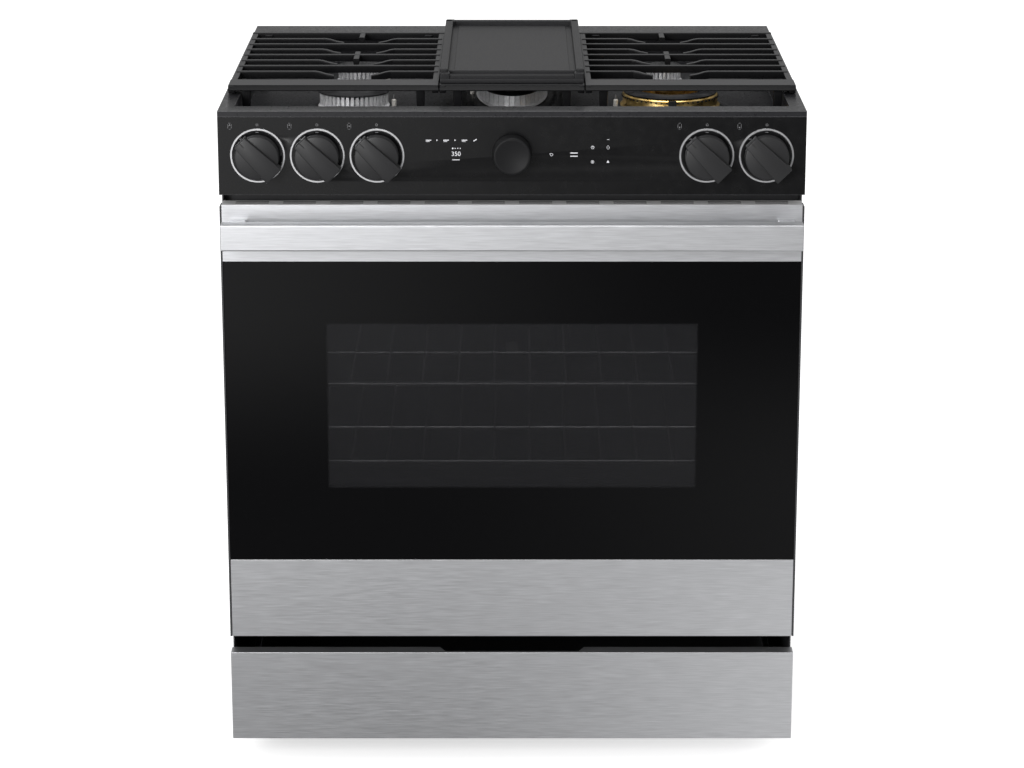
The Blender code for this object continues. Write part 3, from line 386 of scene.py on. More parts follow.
def bar(shape, low, high, edge=0.0, steps=2, index=0):
    """A block with rounded edges between two corners. Returns its vertices."""
    made = bmesh.ops.create_cube(shape, size=1.0)["verts"]
    low, high = Vector(low), Vector(high)
    bmesh.ops.scale(shape, vec=high - low, verts=made)
    bmesh.ops.translate(shape, vec=(low + high) / 2, verts=made)
    faces = {face for vertex in made for face in vertex.link_faces}
    for face in faces:
        face.material_index = index
    if edge:
        edges = {e for vertex in made for e in vertex.link_edges}
        rounded = bmesh.ops.bevel(
            shape,
            geom=list(edges),
            offset=edge,
            segments=steps,
            affect="EDGES",
            profile=0.5,
            material=-1,
        )
        on_edges = {v for face in rounded["faces"] for v in face.verts}
        made = list(on_edges | {v for v in made if v.is_valid})
    return made


def lathe(shape, profile, centre, axis="Z", steps=48, index=0):
    """Turns a profile of (radius, height along the axis) points about an axis through centre."""
    centre = Vector(centre)
    along = Vector((0, 1, 0)) if axis == "Y" else Vector((0, 0, 1))
    ring = [shape.verts.new(centre + Vector((out, 0, 0)) + along * height) for out, height in profile]
    edges = [shape.edges.new(pair) for pair in zip(ring, ring[1:])]
    before = set(shape.faces)
    bmesh.ops.spin(
        shape,
        geom=ring + edges,
        cent=centre,
        axis=along,
        angle=math.tau,
        steps=steps,
        use_merge=True,
    )
    for face in set(shape.faces) - before:
        face.material_index = index


def sweep(shape, path, radius=None, section=(), sides=8):
    """Draws a round wire, or a section of (across, up) points, along a path that mostly runs one way."""
    path = [Vector(point) for point in path]
    heading = (path[-1] - path[0]).normalized()
    if section:
        disc = [shape.verts.new((across, up, 0)) for across, up in section]
        face = shape.faces.new(disc)
    else:
        disc = bmesh.ops.create_circle(shape, cap_ends=True, radius=radius, segments=sides)["verts"]
        face = next(iter(set.intersection(*[set(v.link_faces) for v in disc])))
    turn = heading.to_track_quat("Z", "Y").to_matrix().to_4x4()
    bmesh.ops.transform(shape, matrix=Matrix.Translation(path[0]) @ turn, verts=disc)
    for start, end in zip(path, path[1:]):
        moved = bmesh.ops.extrude_face_region(shape, geom=[face])["geom"]
        top = [item for item in moved if isinstance(item, bmesh.types.BMVert)]
        bmesh.ops.translate(shape, vec=end - start, verts=top)
        face = next(item for item in moved if isinstance(item, bmesh.types.BMFace))


print("helpers ready")

# %% [markdown]
# ## Sheet metal, frames and panels
# Most structural pieces already have their exact shape. What they lack is the small radius of a folded or
# polished edge, which catches the light. Each gets a copy of its own mesh, merged and freed of flat inner
# edges, with a Bevel modifier at a real edge radius.

# %% Rounded copies
EDGE_SEGMENTS = 2
FLAT_WITHIN = math.radians(0.5)
ROUND_OVER = math.radians(50)


def rounded_copy(node, radius, materials):
    """The second of two materials, if there are two, goes on the rounded edges."""
    shape = bmesh.new()
    shape.from_mesh(nodes[node].data)
    bmesh.ops.remove_doubles(shape, verts=shape.verts, dist=1e-6)
    bmesh.ops.dissolve_limit(shape, angle_limit=FLAT_WITHIN, verts=shape.verts, edges=shape.edges)
    piece = keep(f"{node}_formed", shape, materials, body_of[node], (node,), clean=False)
    edge = piece.modifiers.new("Edge radius", "BEVEL")
    edge.width = radius
    edge.segments = EDGE_SEGMENTS
    edge.limit_method = "ANGLE"
    edge.angle_limit = ROUND_OVER
    edge.harden_normals = True
    edge.material = len(materials) - 1
    return piece


EDGE_RADII = (
    # node, edge radius, finish, and the finish of the edges where it differs (the lighter one is a painted
    # highlight)
    ("door_top_trim", 0.0007, steel),
    ("door_lower_panel", 0.0007, steel),
    ("drawer_front", 0.0008, steel),
    ("handle_post_left", 0.0012, steel),
    ("handle_post_right", 0.0012, steel),
    ("door_outer_glass", 0.0008, black_glass),
    ("door_inner_glass", 0.0006, inner_glass),
    ("door_shell", 0.0004, paint),
    ("door_liner", 0.0006, oven_enamel),
    ("cooktop", 0.0016, enamel, painted_edge_highlight),
    ("rear_trim", 0.0016, enamel),
    ("control_panel", 0.0012, panel_black, painted_edge_highlight),
    ("side_panel_left", 0.0006, paint),
    ("side_panel_right", 0.0006, paint),
    ("front_frame", 0.0006, paint),
    ("base_frame", 0.0006, dull_steel),
    ("drawer_box", 0.0005, paint),
    ("oven_cavity", 0.0004, oven_enamel),
    ("back_panel", 0.0005, dull_steel),
    ("fan_motor", 0.0015, dull_steel),
    ("convection_cover", 0.0005, oven_enamel),
    ("door_gasket", 0.0012, gasket),
)
for node, radius, *finishes in EDGE_RADII:
    rounded_copy(node, radius, finishes)
for node in nodes:
    if node.startswith(("hinge_arm", "valve_stem", "gas_manifold", "bake", "broil", "convection_fan")):
        nodes[node].data.materials.clear()
        nodes[node].data.materials.append(dull_steel)
print(len(EDGE_RADII), "formed pieces")

# %% [markdown]
# The door's top trim is slotted for the oven's vent. Its top face gets a paler, matt copy of the steel, a
# painted highlight, and the walls of its slots are black, a painted shade.

# %% Vent slots


def finish_slots(node):
    """A slotted trim: its top face gets a paler, matt copy of the steel, a painted highlight, and the walls of its
    slots get black, a painted shade.
    """
    low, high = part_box(node)
    trim = bpy.data.objects[f"{node}_formed"]
    trim.modifiers["Edge radius"].material = -1
    trim.data.materials.append(painted_hollow_shade)
    trim.data.materials.append(painted_lit_steel)
    margin = 0.0015
    # Slot walls get black, a painted shade (1); the top face gets the paler steel, a painted highlight (2).
    for face in trim.data.polygons:
        inside_x = low.x + margin < face.center.x < high.x - margin
        inside_y = low.y + margin < face.center.y < high.y - margin
        if inside_x and inside_y and abs(face.normal.z) < 0.5:
            face.material_index = 1
        elif face.normal.z > 0.9 and face.center.z > high.z - margin:
            face.material_index = 2


finish_slots("door_top_trim")
print("trim slots blackened")

# %% [markdown]
# ## The door handle
# The handle is a flat bar of extruded steel across the whole door. Its long edges have a radius of nearly
# 2 mm, and its ends are plain, so a block with bevelled edges is all it needs.

# %% Door handle
HANDLE_RADIUS = 0.0018
handle_shape = bmesh.new()
bar(handle_shape, *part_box("door_handle"), HANDLE_RADIUS, 4)
even_shading(keep("handle_bar", handle_shape, steel, "door", ("door_handle",)))
print("handle radius", HANDLE_RADIUS)

# %% [markdown]
# ## Burners
# A burner is a turned alloy head with flame ports cut into its rim, and a loose enamelled cap. The ports
# are the gaps between small teeth, so the teeth are set round the head in a loop. The large burner is
# brass, with drilled ports and a second small crown in its middle.

# %% Burners
PORT_RADIUS = 0.0011
CAP_LIFT = 0.0036  # the rim of a cap starts this far above its underside
CAP_OVERHANG = 0.005
BURNERS = ("left_front", "left_rear", "centre", "right_rear", "right_front")


def burner_size(name):
    low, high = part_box(f"burner_cap_{name}")
    centre = (low + high) / 2
    return centre, (high.x - low.x) / 2, (high.y - low.y) / (high.x - low.x), low.z, high.z


def stretch_along(shape, centre, amount):
    if abs(amount - 1) > 0.01:
        about = Matrix.Translation(centre)
        grow = about @ Matrix.Diagonal((1, amount, 1, 1)) @ about.inverted()
        bmesh.ops.transform(shape, matrix=grow, verts=shape.verts)


def alloy_head(name, teeth, fill):
    centre, radius, stretch, cap_low, _ = burner_size(name)
    base = Vector((centre.x, centre.y, pan_floor))
    rise = cap_low - pan_floor
    rim = radius - CAP_OVERHANG
    shape = bmesh.new()
    profile = (
        (0, 0.001),
        (rim + 0.004, 0.001),
        (rim + 0.0055, 0.0025),
        (rim + 0.004, 0.0045),
        (rim - 0.001, 0.006),
        (rim - 0.004, 0.0075),
        (rim - 0.004, rise - 0.002),
        (rim - 0.001, rise - 0.0006),
        (rim - 0.002, rise - 0.0003),
        (0, rise - 0.0003),
    )
    lathe(shape, profile, base, steps=64)
    for number in range(teeth):
        before = set(shape.verts)
        tooth = math.pi * rim / teeth * fill
        bar(
            shape,
            (base.x - tooth, base.y + rim - 0.001, base.z + 0.005),
            (base.x + tooth, base.y + rim + 0.0030, base.z + rise + CAP_LIFT - 0.0004),
        )
        spin = Matrix.Rotation(number * math.tau / teeth, 3, "Z")
        bmesh.ops.rotate(shape, cent=base, matrix=spin, verts=list(set(shape.verts) - before))
    stretch_along(shape, centre, stretch)
    keep(f"burner_ring_{name}", shape, alloy, "range_body", (f"burner_head_{name}",))

print("burners:", ", ".join(BURNERS))

# %% [markdown]
# A cap is a turned lid with a thin rim that overhangs the ports. Its rim starts a little above its
# underside, so that the flames have room.

# %% Caps


def cap(name):
    centre, radius, stretch, low, high = burner_size(name)
    base = Vector((centre.x, centre.y, low))
    rise = high - low
    shape = bmesh.new()
    profile = (
        (0, 0),
        (radius - 0.0075, 0),
        (radius - 0.0070, CAP_LIFT),
        (radius - 0.0006, CAP_LIFT),
        (radius, CAP_LIFT + 0.0006),
        (radius - 0.0004, CAP_LIFT + 0.0018),
        (radius - 0.0030, rise - 0.0008),
        (radius * 0.7, rise),
        (0, rise),
    )
    lathe(shape, profile, base, steps=64)
    stretch_along(shape, centre, stretch)
    keep(f"burner_lid_{name}", shape, enamel, "range_body", (f"burner_cap_{name}",))


ALLOY_HEADS = (
    # burner, teeth round its rim, share of the rim that they fill
    ("left_front", 44, 0.62),
    ("left_rear", 32, 0.62),
    ("right_rear", 26, 0.62),
    ("centre", 40, 0.97),
)
for name, teeth, fill in ALLOY_HEADS:
    alloy_head(name, teeth, fill)
    cap(name)
print("four alloy burners made")

# %% [markdown]
# The brass burner is turned from one profile, like the others. Its ports are short black stubs on the slope
# below its rim, painted shade for drilled holes, and a black block in front, painted shade too, stands for the
# notch that takes the flame across. It has two rings of flame, so its cap is a ring too, and a small crown
# stands in the middle.

# %% Brass burner
BRASS_PORTS = 56
NOTCH_HALF = 0.0055
BRASS_OVERHANG = 0.0036


def brass_head():
    centre, radius, _, cap_low, _ = burner_size("right_front")
    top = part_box("burner_head_right_front")[1].z - pan_floor
    base = Vector((centre.x, centre.y, pan_floor))
    rise = cap_low - pan_floor
    rim = radius - BRASS_OVERHANG
    inner = radius * 0.60
    shape = bmesh.new()
    profile = (
        (inner, 0.001),
        (rim, 0.001),
        (rim + 0.0035, 0.0030),
        (rim + 0.0035, 0.0046),
        (rim + 0.0010, 0.0062),
        (rim, 0.0080),
        (rim + 0.0004, rise + 0.0010),
        (rim - 0.0020, rise + 0.0030),
        (rim - 0.0046, rise + 0.0030),
        (rim - 0.0050, rise - 0.0006),
        (inner, rise - 0.0006),
        (inner, 0.001),
    )
    lathe(shape, profile, base, steps=96)
    for number in range(BRASS_PORTS):
        angle = number * math.tau / BRASS_PORTS
        spot = base + Vector((math.cos(angle) * rim, math.sin(angle) * rim, rise * 0.94))
        out = Matrix.Rotation(math.pi / 2, 4, "Y")
        place = Matrix.Translation(spot) @ Matrix.Rotation(angle, 4, "Z") @ out
        made = bmesh.ops.create_cone(
            shape,
            cap_ends=True,
            segments=10,
            radius1=PORT_RADIUS,
            radius2=PORT_RADIUS,
            depth=0.0035,
            matrix=place,
        )["verts"]
        # The ports are black stubs: painted shade for drilled holes.
        for face in {f for v in made for f in v.link_faces}:
            face.material_index = 1
    # The notch is a black block: painted shade.
    notch_low = (base.x - NOTCH_HALF, base.y - rim - 0.0034, base.z + 0.0045)
    notch_high = (base.x + NOTCH_HALF, base.y - rim + 0.004, base.z + rise + 0.0022)
    bar(shape, notch_low, notch_high, 0.0005, 1, 1)
    crown = (
        (0, 0.002),
        (0.021, 0.002),
        (0.021, top - 0.009),
        (0.023, top - 0.006),
        (0.0235, top - 0.002),
        (0.021, top),
        (0, top),
    )
    lathe(shape, crown, base, steps=64)
    replaced = ("burner_head_right_front",)
    keep("burner_ring_right_front", shape, [brass, painted_hollow_shade], "range_body", replaced)


def brass_cap():
    centre, radius, _, low, high = burner_size("right_front")
    rim = radius - BRASS_OVERHANG
    ring = bmesh.new()
    height = high - low
    hole = radius * 0.62
    rounded = (
        (hole, 0),
        (rim - 0.0056, 0),
        (rim - 0.0052, CAP_LIFT),
        (rim - 0.0012, CAP_LIFT),
        (rim - 0.0008, CAP_LIFT + 0.0012),
        (rim - 0.0050, height - 0.0008),
        (rim - 0.0090, height),
        (hole + 0.003, height),
        (hole, height - 0.002),
        (hole, 0),
    )
    lathe(ring, rounded, Vector((centre.x, centre.y, low)), steps=96)
    keep("burner_lid_right_front", ring, enamel, "range_body", ("burner_cap_right_front",))


brass_head()
brass_cap()
print("brass burner made with", BRASS_PORTS, "ports")

# %% [markdown]
# Each burner has a spark igniter beside it: a white ceramic post with a thin steel tip.

# %% Igniters
IGNITER_GAP = 0.006
IGNITER_POST = ((0, 0.0003), (0.0032, 0.0003), (0.0032, 0.009), (0.0022, 0.010), (0, 0.010))
IGNITER_TIP = ((0, 0.009), (0.0008, 0.009), (0.0008, 0.016), (0, 0.0165))


def igniters():
    posts = bmesh.new()
    for name in BURNERS:
        centre, radius, *_ = burner_size(name)
        side = 1 if name.startswith("left") else -1
        spot = Vector((centre.x + side * (radius + IGNITER_GAP), centre.y, pan_floor))
        lathe(posts, IGNITER_POST, spot, steps=16)
        lathe(posts, IGNITER_TIP, spot, steps=10, index=1)
    keep("spark_igniters", posts, [ceramic, dull_steel], "range_body")


igniters()
print(len(BURNERS), "igniters made")

# %% [markdown]
# ## Grates
# A grate is one casting: a wide sloped front bar, side and back bars, and cross bars. Over each burner
# every second cross bar stops short, and its two ends dip and turn like fingers. The bars are swept
# sections with rounded shoulders.

# %% Grates
BAR_ROWS = 7
FRONT_BAR_DEPTH = 0.0465
SIDE_BAR_WIDE = 0.009
LEG_WIDE = 0.012
LEG_TAPER = 0.25
FINGER_GAP = 0.050
FINGER_BEND = 0.026
TOP_FACING = 0.9  # a face whose normal points up by more than this gets the lighter iron, a painted highlight
BAR_SECTION = (
    # across, up: a little narrower below, with a nearly flat top and rounded shoulders
    (-0.0034, -0.0050),
    (0.0034, -0.0050),
    (0.0043, 0.0030),
    (0.0036, 0.0046),
    (0.0020, 0.0050),
    (-0.0020, 0.0050),
    (-0.0036, 0.0046),
    (-0.0043, 0.0030),
)


def cross_bar(shape, start, end, y, top, dips):
    """A cross bar from x=start to x=end. dips says which ends bend down and forward like a finger."""
    z = top - BAR_SECTION[4][1]
    way = 1 if end > start else -1
    path = []
    if dips[0]:
        path += [(start, y - 0.0065, z - 0.0045), (start + way * FINGER_BEND * 0.4, y - 0.0052, z - 0.0028)]
        path.append((start + way * FINGER_BEND * 0.75, y - 0.0022, z - 0.0006))
        path.append((start + way * FINGER_BEND, y, z))
    else:
        path += [(start, y, z)]
    if dips[1]:
        path += [(end - way * FINGER_BEND, y, z), (end - way * FINGER_BEND * 0.75, y - 0.0022, z - 0.0006)]
        path += [(end - way * FINGER_BEND * 0.4, y - 0.0052, z - 0.0028), (end, y - 0.0065, z - 0.0045)]
    else:
        path += [(end, y, z)]
    sweep(shape, path, section=BAR_SECTION)

print(BAR_ROWS, "rows of cross bars")

# %% [markdown]
# The casting is put together from blocks and swept bars that sink into each other, as they do in one
# casting. It stands on four legs that narrow at their feet.

# %% Castings


def grate(name, gap_at=None):
    low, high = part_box(name)
    top = high.z
    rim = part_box("cooktop")[1].z
    front = low.y
    shape = bmesh.new()
    slab = bar(shape, (low.x, front, top - 0.0075), (high.x, front + FRONT_BAR_DEPTH, top), 0.0012, 3)
    for corner in slab:
        if corner.co.y < front + 0.006 and corner.co.z > top - 0.004:
            corner.co.y += 0.0055
            corner.co.z -= 0.0004
    for x in ((low.x, low.x + SIDE_BAR_WIDE), (high.x - SIDE_BAR_WIDE, high.x)):
        bar(shape, (x[0], front + 0.004, rim + 0.0006), (x[1], high.y - 0.004, top - 0.0012), 0.0016, 2)
    bar(shape, (low.x, high.y - 0.012, rim + 0.0006), (high.x, high.y, top - 0.0002), 0.0020, 3)
    first = front + 0.109
    last = high.y - 0.059
    for row in range(BAR_ROWS):
        y = first + row * (last - first) / (BAR_ROWS - 1)
        if row % 2 or gap_at is None:
            cross_bar(shape, low.x + 0.003, high.x - 0.003, y, top, (False, False))
            continue
        cross_bar(shape, low.x + 0.003, gap_at - FINGER_GAP / 2, y, top, (False, True))
        cross_bar(shape, gap_at + FINGER_GAP / 2, high.x - 0.003, y, top, (True, False))
    if gap_at is not None:
        for start, end in ((front + 0.206, front + 0.264), (high.y - 0.048, high.y - 0.008)):
            sweep(shape, ((gap_at, start, top - 0.0055), (gap_at, end, top - 0.0055)), section=BAR_SECTION)
    for x in (low.x + 0.018, high.x - 0.030):
        for y in (front + 0.003, high.y - 0.015):
            leg = bar(shape, (x, y, pan_floor), (x + LEG_WIDE, y + LEG_WIDE, top - 0.003), 0.0015, 2)
            for corner in leg:
                if corner.co.z < pan_floor + LEG_WIDE / 2:
                    corner.co.x += (x + LEG_WIDE / 2 - corner.co.x) * LEG_TAPER
                    corner.co.y += (y + LEG_WIDE / 2 - corner.co.y) * LEG_TAPER
    # Faces that point up take the lighter iron, a painted highlight; the others keep the dark iron.
    for face in shape.faces:
        face.normal_update()
        face.material_index = int(face.normal.z > TOP_FACING)
    even_shading(keep(f"{name}_casting", shape, [iron, painted_lit_iron], body_of[name], (name,)))


side_burner = burner_size("left_front")[0].x
grate("grate_left", side_burner)
grate("grate_centre")
grate("grate_right", -side_burner)
print("grates cast")

# %% [markdown]
# ## Griddle
# The griddle is a cast plate with a raised rim on its sides and back, a lower ledge in front where fat
# gathers, and an ear on each front corner. Each of these is a block with its own rounding, laid on the
# plate. A thin raised field makes the cooking face.

# %% Griddle


def griddle():
    low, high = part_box("griddle")
    rim = 0.0105
    ledge = 0.024
    back = low.y + ledge
    face = low.z + 0.0102
    shape = bmesh.new()
    bar(shape, (low.x + 0.001, low.y + 0.004, low.z), (high.x - 0.001, high.y, face), 0.0012, 2)
    for x in ((low.x, low.x + rim), (high.x - rim, high.x)):
        bar(shape, (x[0], low.y + 0.010, low.z + 0.001), (x[1], high.y, high.z), 0.0018, 3)
    bar(shape, (low.x, high.y - rim, low.z + 0.001), (high.x, high.y, high.z - 0.0005), 0.0018, 3)
    bar(shape, (low.x + 0.004, back - 0.004, low.z + 0.002), (high.x - 0.004, back, face + 0.0035), 0.0014, 2)
    bar(shape, (low.x, low.y, low.z), (high.x, low.y + 0.010, low.z + 0.006), 0.0014, 2)
    for x in ((low.x, low.x + 0.013), (high.x - 0.013, high.x)):
        bar(shape, (x[0], low.y + 0.001, low.z + 0.0008), (x[1], low.y + 0.016, high.z - 0.004), 0.0018, 3)
        bar(shape, (x[0], high.y - 0.016, low.z + 0.0008), (x[1], high.y, high.z), 0.0018, 3)
    near = (low.x + rim + 0.008, back + 0.004, face - 0.002)
    far = (high.x - rim - 0.008, high.y - rim - 0.008, face + 0.0012)
    bar(shape, near, far, 0.0008, 2)
    even_shading(keep("griddle_casting", shape, coated_iron, body_of["griddle"], ("griddle",)))


griddle()
print("griddle cast")

# %% [markdown]
# ## Knobs and dial
# A gas knob is a turned skirt with a wide grip across it that narrows towards its pointer. The grip is a
# block whose pointer end is squeezed and whose edges are rounded; the whole piece is then turned to where
# the knob rests. A fine dark line marks the pointer: it stands for the shade in a notch, a painted shade.

# %% Knobs
GRIP_ANGLE = math.radians(135)
GRIP_TIP = 0.031  # from the knob's axis to the pointer's end, and to the other end
GRIP_TAIL = 0.0345
GRIP_HALF = 0.0132  # half the grip's width at its tail, and at its tip
TIP_HALF = 0.0094


def knob(name):
    centre = Vector(joints[f"knob_{name}_turn"]["pos_m"])
    low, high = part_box(f"knob_{name}")
    front, back = low.y - centre.y, high.y - centre.y
    shape = bmesh.new()
    skirt = (
        (0.0045, back),
        (0.0280, back),
        (0.0285, back - 0.0006),
        (0.0284, -0.0170),
        (0.0278, -0.0185),
        (0.0262, -0.0192),
        (0.0, -0.0192),
    )
    lathe(shape, skirt, centre, "Y", 72)
    before = set(shape.verts)
    grip_low = (centre.x - GRIP_TAIL, centre.y + front, centre.z - GRIP_HALF)
    grip_high = (centre.x + GRIP_TIP, centre.y - 0.0088, centre.z + GRIP_HALF)
    bar(shape, grip_low, grip_high, 0.0012, 3)
    grip = list(set(shape.verts) - before)
    for corner in grip:
        share = (corner.co.x - centre.x + GRIP_TAIL) / (GRIP_TIP + GRIP_TAIL)
        width = 1 + share * (TIP_HALF / GRIP_HALF - 1)
        corner.co.z = centre.z + (corner.co.z - centre.z) * width
        across = (corner.co.z - centre.z) / GRIP_HALF
        if corner.co.x > centre.x:
            corner.co.x -= 0.0016 * across * across
        else:
            corner.co.x += 0.0030 * across * across
    # The pointer's notch is a black bar: painted shade.
    notch_low = (centre.x + 0.0215, centre.y + front - 0.00015, centre.z - 0.0006)
    notch_high = (centre.x + 0.0300, centre.y + front + 0.0010, centre.z + 0.0006)
    bar(shape, notch_low, notch_high, 0, 1, 1)
    turned = list(set(shape.verts) - before)
    bmesh.ops.rotate(shape, cent=centre, matrix=Matrix.Rotation(-GRIP_ANGLE, 3, "Y"), verts=turned)
    body = body_of[f"knob_{name}"]
    keep(f"knob_{name}_moulding", shape, [knob_black, painted_hollow_shade], body, (f"knob_{name}",))

for name in BURNERS:
    knob(name)
print(len(BURNERS), "knobs made")

# %% [markdown]
# The oven dial is turned in one profile, with a soft front edge and a shallow dish in its face.

# %% Dial


def dial():
    low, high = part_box("oven_dial")
    centre = Vector(joints["dial_turn"]["pos_m"])
    front, back = low.y - centre.y, high.y - centre.y
    shape = bmesh.new()
    profile = (
        (0.0040, back),
        (0.0250, back),
        (0.0255, back - 0.0008),
        (0.0242, front + 0.0022),
        (0.0237, front + 0.0008),
        (0.0226, front),
        (0.0206, front),
        (0.0200, front + 0.0004),
        (0.0, front + 0.0004),
    )
    lathe(shape, profile, centre, "Y", 96)
    keep("dial_moulding", shape, dial_black, "dial", ("oven_dial",))


dial()
print("dial made")

# %% [markdown]
# Round each knob the panel carries a bright ring. It is spun from a small rounded section.

# %% Chrome rings
RING_RADIUS = 0.0355
RING_WIDTH = 0.0025


def knob_rings():
    shape = bmesh.new()
    for name in BURNERS:
        centre = Vector(joints[f"knob_{name}_turn"]["pos_m"])
        section = (
            (RING_RADIUS + 0.0001, 0.0001),
            (RING_RADIUS + 0.0001, -0.0010),
            (RING_RADIUS - 0.0003, -0.0015),
            (RING_RADIUS - RING_WIDTH + 0.0003, -0.0015),
            (RING_RADIUS - RING_WIDTH - 0.0001, -0.0010),
            (RING_RADIUS - RING_WIDTH - 0.0001, 0.0001),
            (RING_RADIUS + 0.0001, 0.0001),
        )
        lathe(shape, section, centre, "Y", 96)
    keep("knob_rings", shape, satin, "range_body")


knob_rings()
print("rings made,", RING_WIDTH, "m wide")

# %% [markdown]
# ## Printing on the panel
# The panel's marks are generic: a small ring for off above each knob, a pill with a dot that says which
# burner it is, and plain bars, arrows and a number on the display. Each is a thin raised film of print.

# %% Shapes of the print
FILM = 0.00015


def film_box(shape, x, z, wide, tall):
    y = front_y
    bar(shape, (x - wide / 2, y - FILM, z - tall / 2), (x + wide / 2, y + FILM, z + tall / 2))


def film_ring(shape, x, z, radius, line):
    edge = ((radius, FILM), (radius, -FILM), (radius - line, -FILM), (radius - line, FILM), (radius, FILM))
    lathe(shape, edge, (x, front_y, z), "Y", 24)


def film_dot(shape, x, z, radius, sides=12, turn=0.0):
    face_front = Matrix.Rotation(turn, 4, "Y") @ Matrix.Rotation(math.pi / 2, 4, "X")
    lay = Matrix.Translation((x, front_y, z)) @ face_front
    bmesh.ops.create_cone(
        shape, cap_ends=True, segments=sides, radius1=radius, radius2=radius, depth=2 * FILM, matrix=lay
    )


def film_pill(shape, x, z, wide, tall, line):
    for side in (-1, 1):
        film_box(shape, x + side * (wide - line) / 2, z, line, tall - wide * 0.6)
        film_box(shape, x, z + side * (tall - line) / 2, wide * 0.55, line)


def film_number(shape, text, x, z, size):
    curve = bpy.data.curves.new("number", "FONT")
    curve.body = text
    curve.size = size
    curve.align_x = "CENTER"
    curve.align_y = "CENTER"
    curve.extrude = FILM
    holder = bpy.data.objects.new("number", curve)
    scene.collection.objects.link(holder)
    graph = bpy.context.evaluated_depsgraph_get()
    mesh = bpy.data.meshes.new_from_object(holder.evaluated_get(graph))
    before = set(shape.verts)
    shape.from_mesh(mesh)
    stand = Matrix.Translation((x, front_y, z)) @ Matrix.Rotation(math.pi / 2, 4, "X")
    bmesh.ops.transform(shape, matrix=stand, verts=list(set(shape.verts) - before))
    bpy.data.objects.remove(holder)

print("film", FILM, "m thick on each side of the panel's face")

# %% [markdown]
# Every knob has the same three marks. The display's row hangs from the panel's top edge.

# %% Marks of the knobs and the display


def knob_marks(shape):
    dots = {"left_front": -1, "left_rear": -1, "centre": 0, "right_rear": 1, "right_front": 1}
    for name in BURNERS:
        centre = Vector(joints[f"knob_{name}_turn"]["pos_m"])
        film_ring(shape, centre.x, centre.z + 0.0402, 0.0016, 0.0004)
        film_pill(shape, centre.x - 0.0354, centre.z + 0.0385, 0.0048, 0.0082, 0.0004)
        film_dot(shape, centre.x - 0.0354, centre.z + 0.0385 - dots[name] * 0.0015, 0.0008)
        for angle in (90, 135):
            turn = math.radians(angle)
            reach = 0.0305
            across = reach * math.cos(turn)
            up = reach * math.sin(turn)
            film_box(shape, centre.x + across, centre.z + up, 0.0040, 0.0007)


def display_marks(shape):
    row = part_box("control_panel")[1].z - 0.0305
    for x in (-0.1076, -0.0849, -0.0613):
        film_box(shape, x, row, 0.0072, 0.0011)
        film_box(shape, x - 0.001, row - 0.0018, 0.0046, 0.0006)
    for x in (-0.0968, -0.0735):
        film_dot(shape, x, row, 0.0013, 3, math.pi / 2)
    for step in (-1, 0, 1):
        film_dot(shape, -0.0476 + step * 0.0014, row + step * 0.0009, 0.0008)
    for number in range(4):
        film_dot(shape, -0.0766 + number * 0.0033, row - 0.0107, 0.0007 if number else 0.0011)
    film_number(shape, "350", -0.0722, row - 0.0182, 0.0082)
    film_box(shape, -0.0722, row - 0.0258, 0.0095, 0.0009)
    film_ring(shape, 0.0510, row - 0.0190, 0.0019, 0.0005)
    film_box(shape, 0.0492, row - 0.0178, 0.0016, 0.0006)
    for lower in (0, 1):
        film_box(shape, 0.0800, row - 0.0168 - 0.0042 * lower, 0.0095, 0.0012)
    film_ring(shape, 0.1040, row - 0.0095, 0.0021, 0.0005)
    film_box(shape, 0.1040, row - 0.0090, 0.0005, 0.0016)
    film_pill(shape, 0.1240, row - 0.0095, 0.0034, 0.0046, 0.0005)
    film_ring(shape, 0.1040, row - 0.0285, 0.0021, 0.0005)
    film_dot(shape, 0.1040, row - 0.0285, 0.0008)
    film_dot(shape, 0.1240, row - 0.0285, 0.0021, 3, 0)
    film_box(shape, 0.1240, row + 0.0008, 0.0030, 0.0005)


marks = bmesh.new()
knob_marks(marks)
keep("panel_marks_knobs", marks, grey_print, "range_body", clean=False)
marks = bmesh.new()
display_marks(marks)
keep("panel_marks_display", marks, white_print, "range_body", clean=False)
print("panel printed")

# %% [markdown]
# ## Oven racks
# A rack is welded from chromed wire: a frame of thick rod, one rod across its middle, and thin wires from
# front to back. Each wire is a swept circle; the frame's corners are rounded by a few extra points.

# %% Racks
WIRE_PITCH = 0.0484
WIRE_RADIUS = 0.0016
ROD_RADIUS = 0.0025
RACK_CORNER = 0.012
BEND_STEPS = 4


def rack(name):
    low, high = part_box(name)
    z = low.z + ROD_RADIUS
    left, right = low.x + ROD_RADIUS, high.x - ROD_RADIUS
    front, back = low.y + ROD_RADIUS, high.y - ROD_RADIUS
    shape = bmesh.new()
    for x, inward in ((left, 1), (right, -1)):
        sweep(shape, ((x, front + RACK_CORNER, z), (x, back - RACK_CORNER, z)), ROD_RADIUS)
        for y, way in ((front, 1), (back, -1)):
            bend = []
            for step in range(BEND_STEPS + 1):
                turn = step / BEND_STEPS * math.pi / 2
                across = inward * RACK_CORNER * (1 - math.cos(turn))
                along = way * RACK_CORNER * (1 - math.sin(turn))
                bend.append((x + across, y + along, z))
            sweep(shape, bend, ROD_RADIUS)
    for y in (front, low.y + 0.162, back):
        sweep(shape, ((left + RACK_CORNER * 0.9, y, z), (right - RACK_CORNER * 0.9, y, z)), ROD_RADIUS)
    pairs = int((right - 0.02) / WIRE_PITCH + 0.5)
    for number in range(-pairs, pairs):
        x = (number + 0.5) * WIRE_PITCH
        near = [(x, front, z + 0.0010), (x, front + 0.01, z + 0.0014)]
        far = [(x, back - 0.01, z + 0.0014), (x, back, z + 0.0010)]
        sweep(shape, near + far, WIRE_RADIUS, sides=6)
    keep(f"{name}_wires", shape, chrome, body_of[name], (name,))


rack("oven_rack_upper")
rack("oven_rack_lower")
print("racks welded")

# %% [markdown]
# ## Cooktop details
# The pan is pressed with a raised pad under each burner, so that spills stay away from the flames. Each
# pad is a turned step.

# %% Burner pads


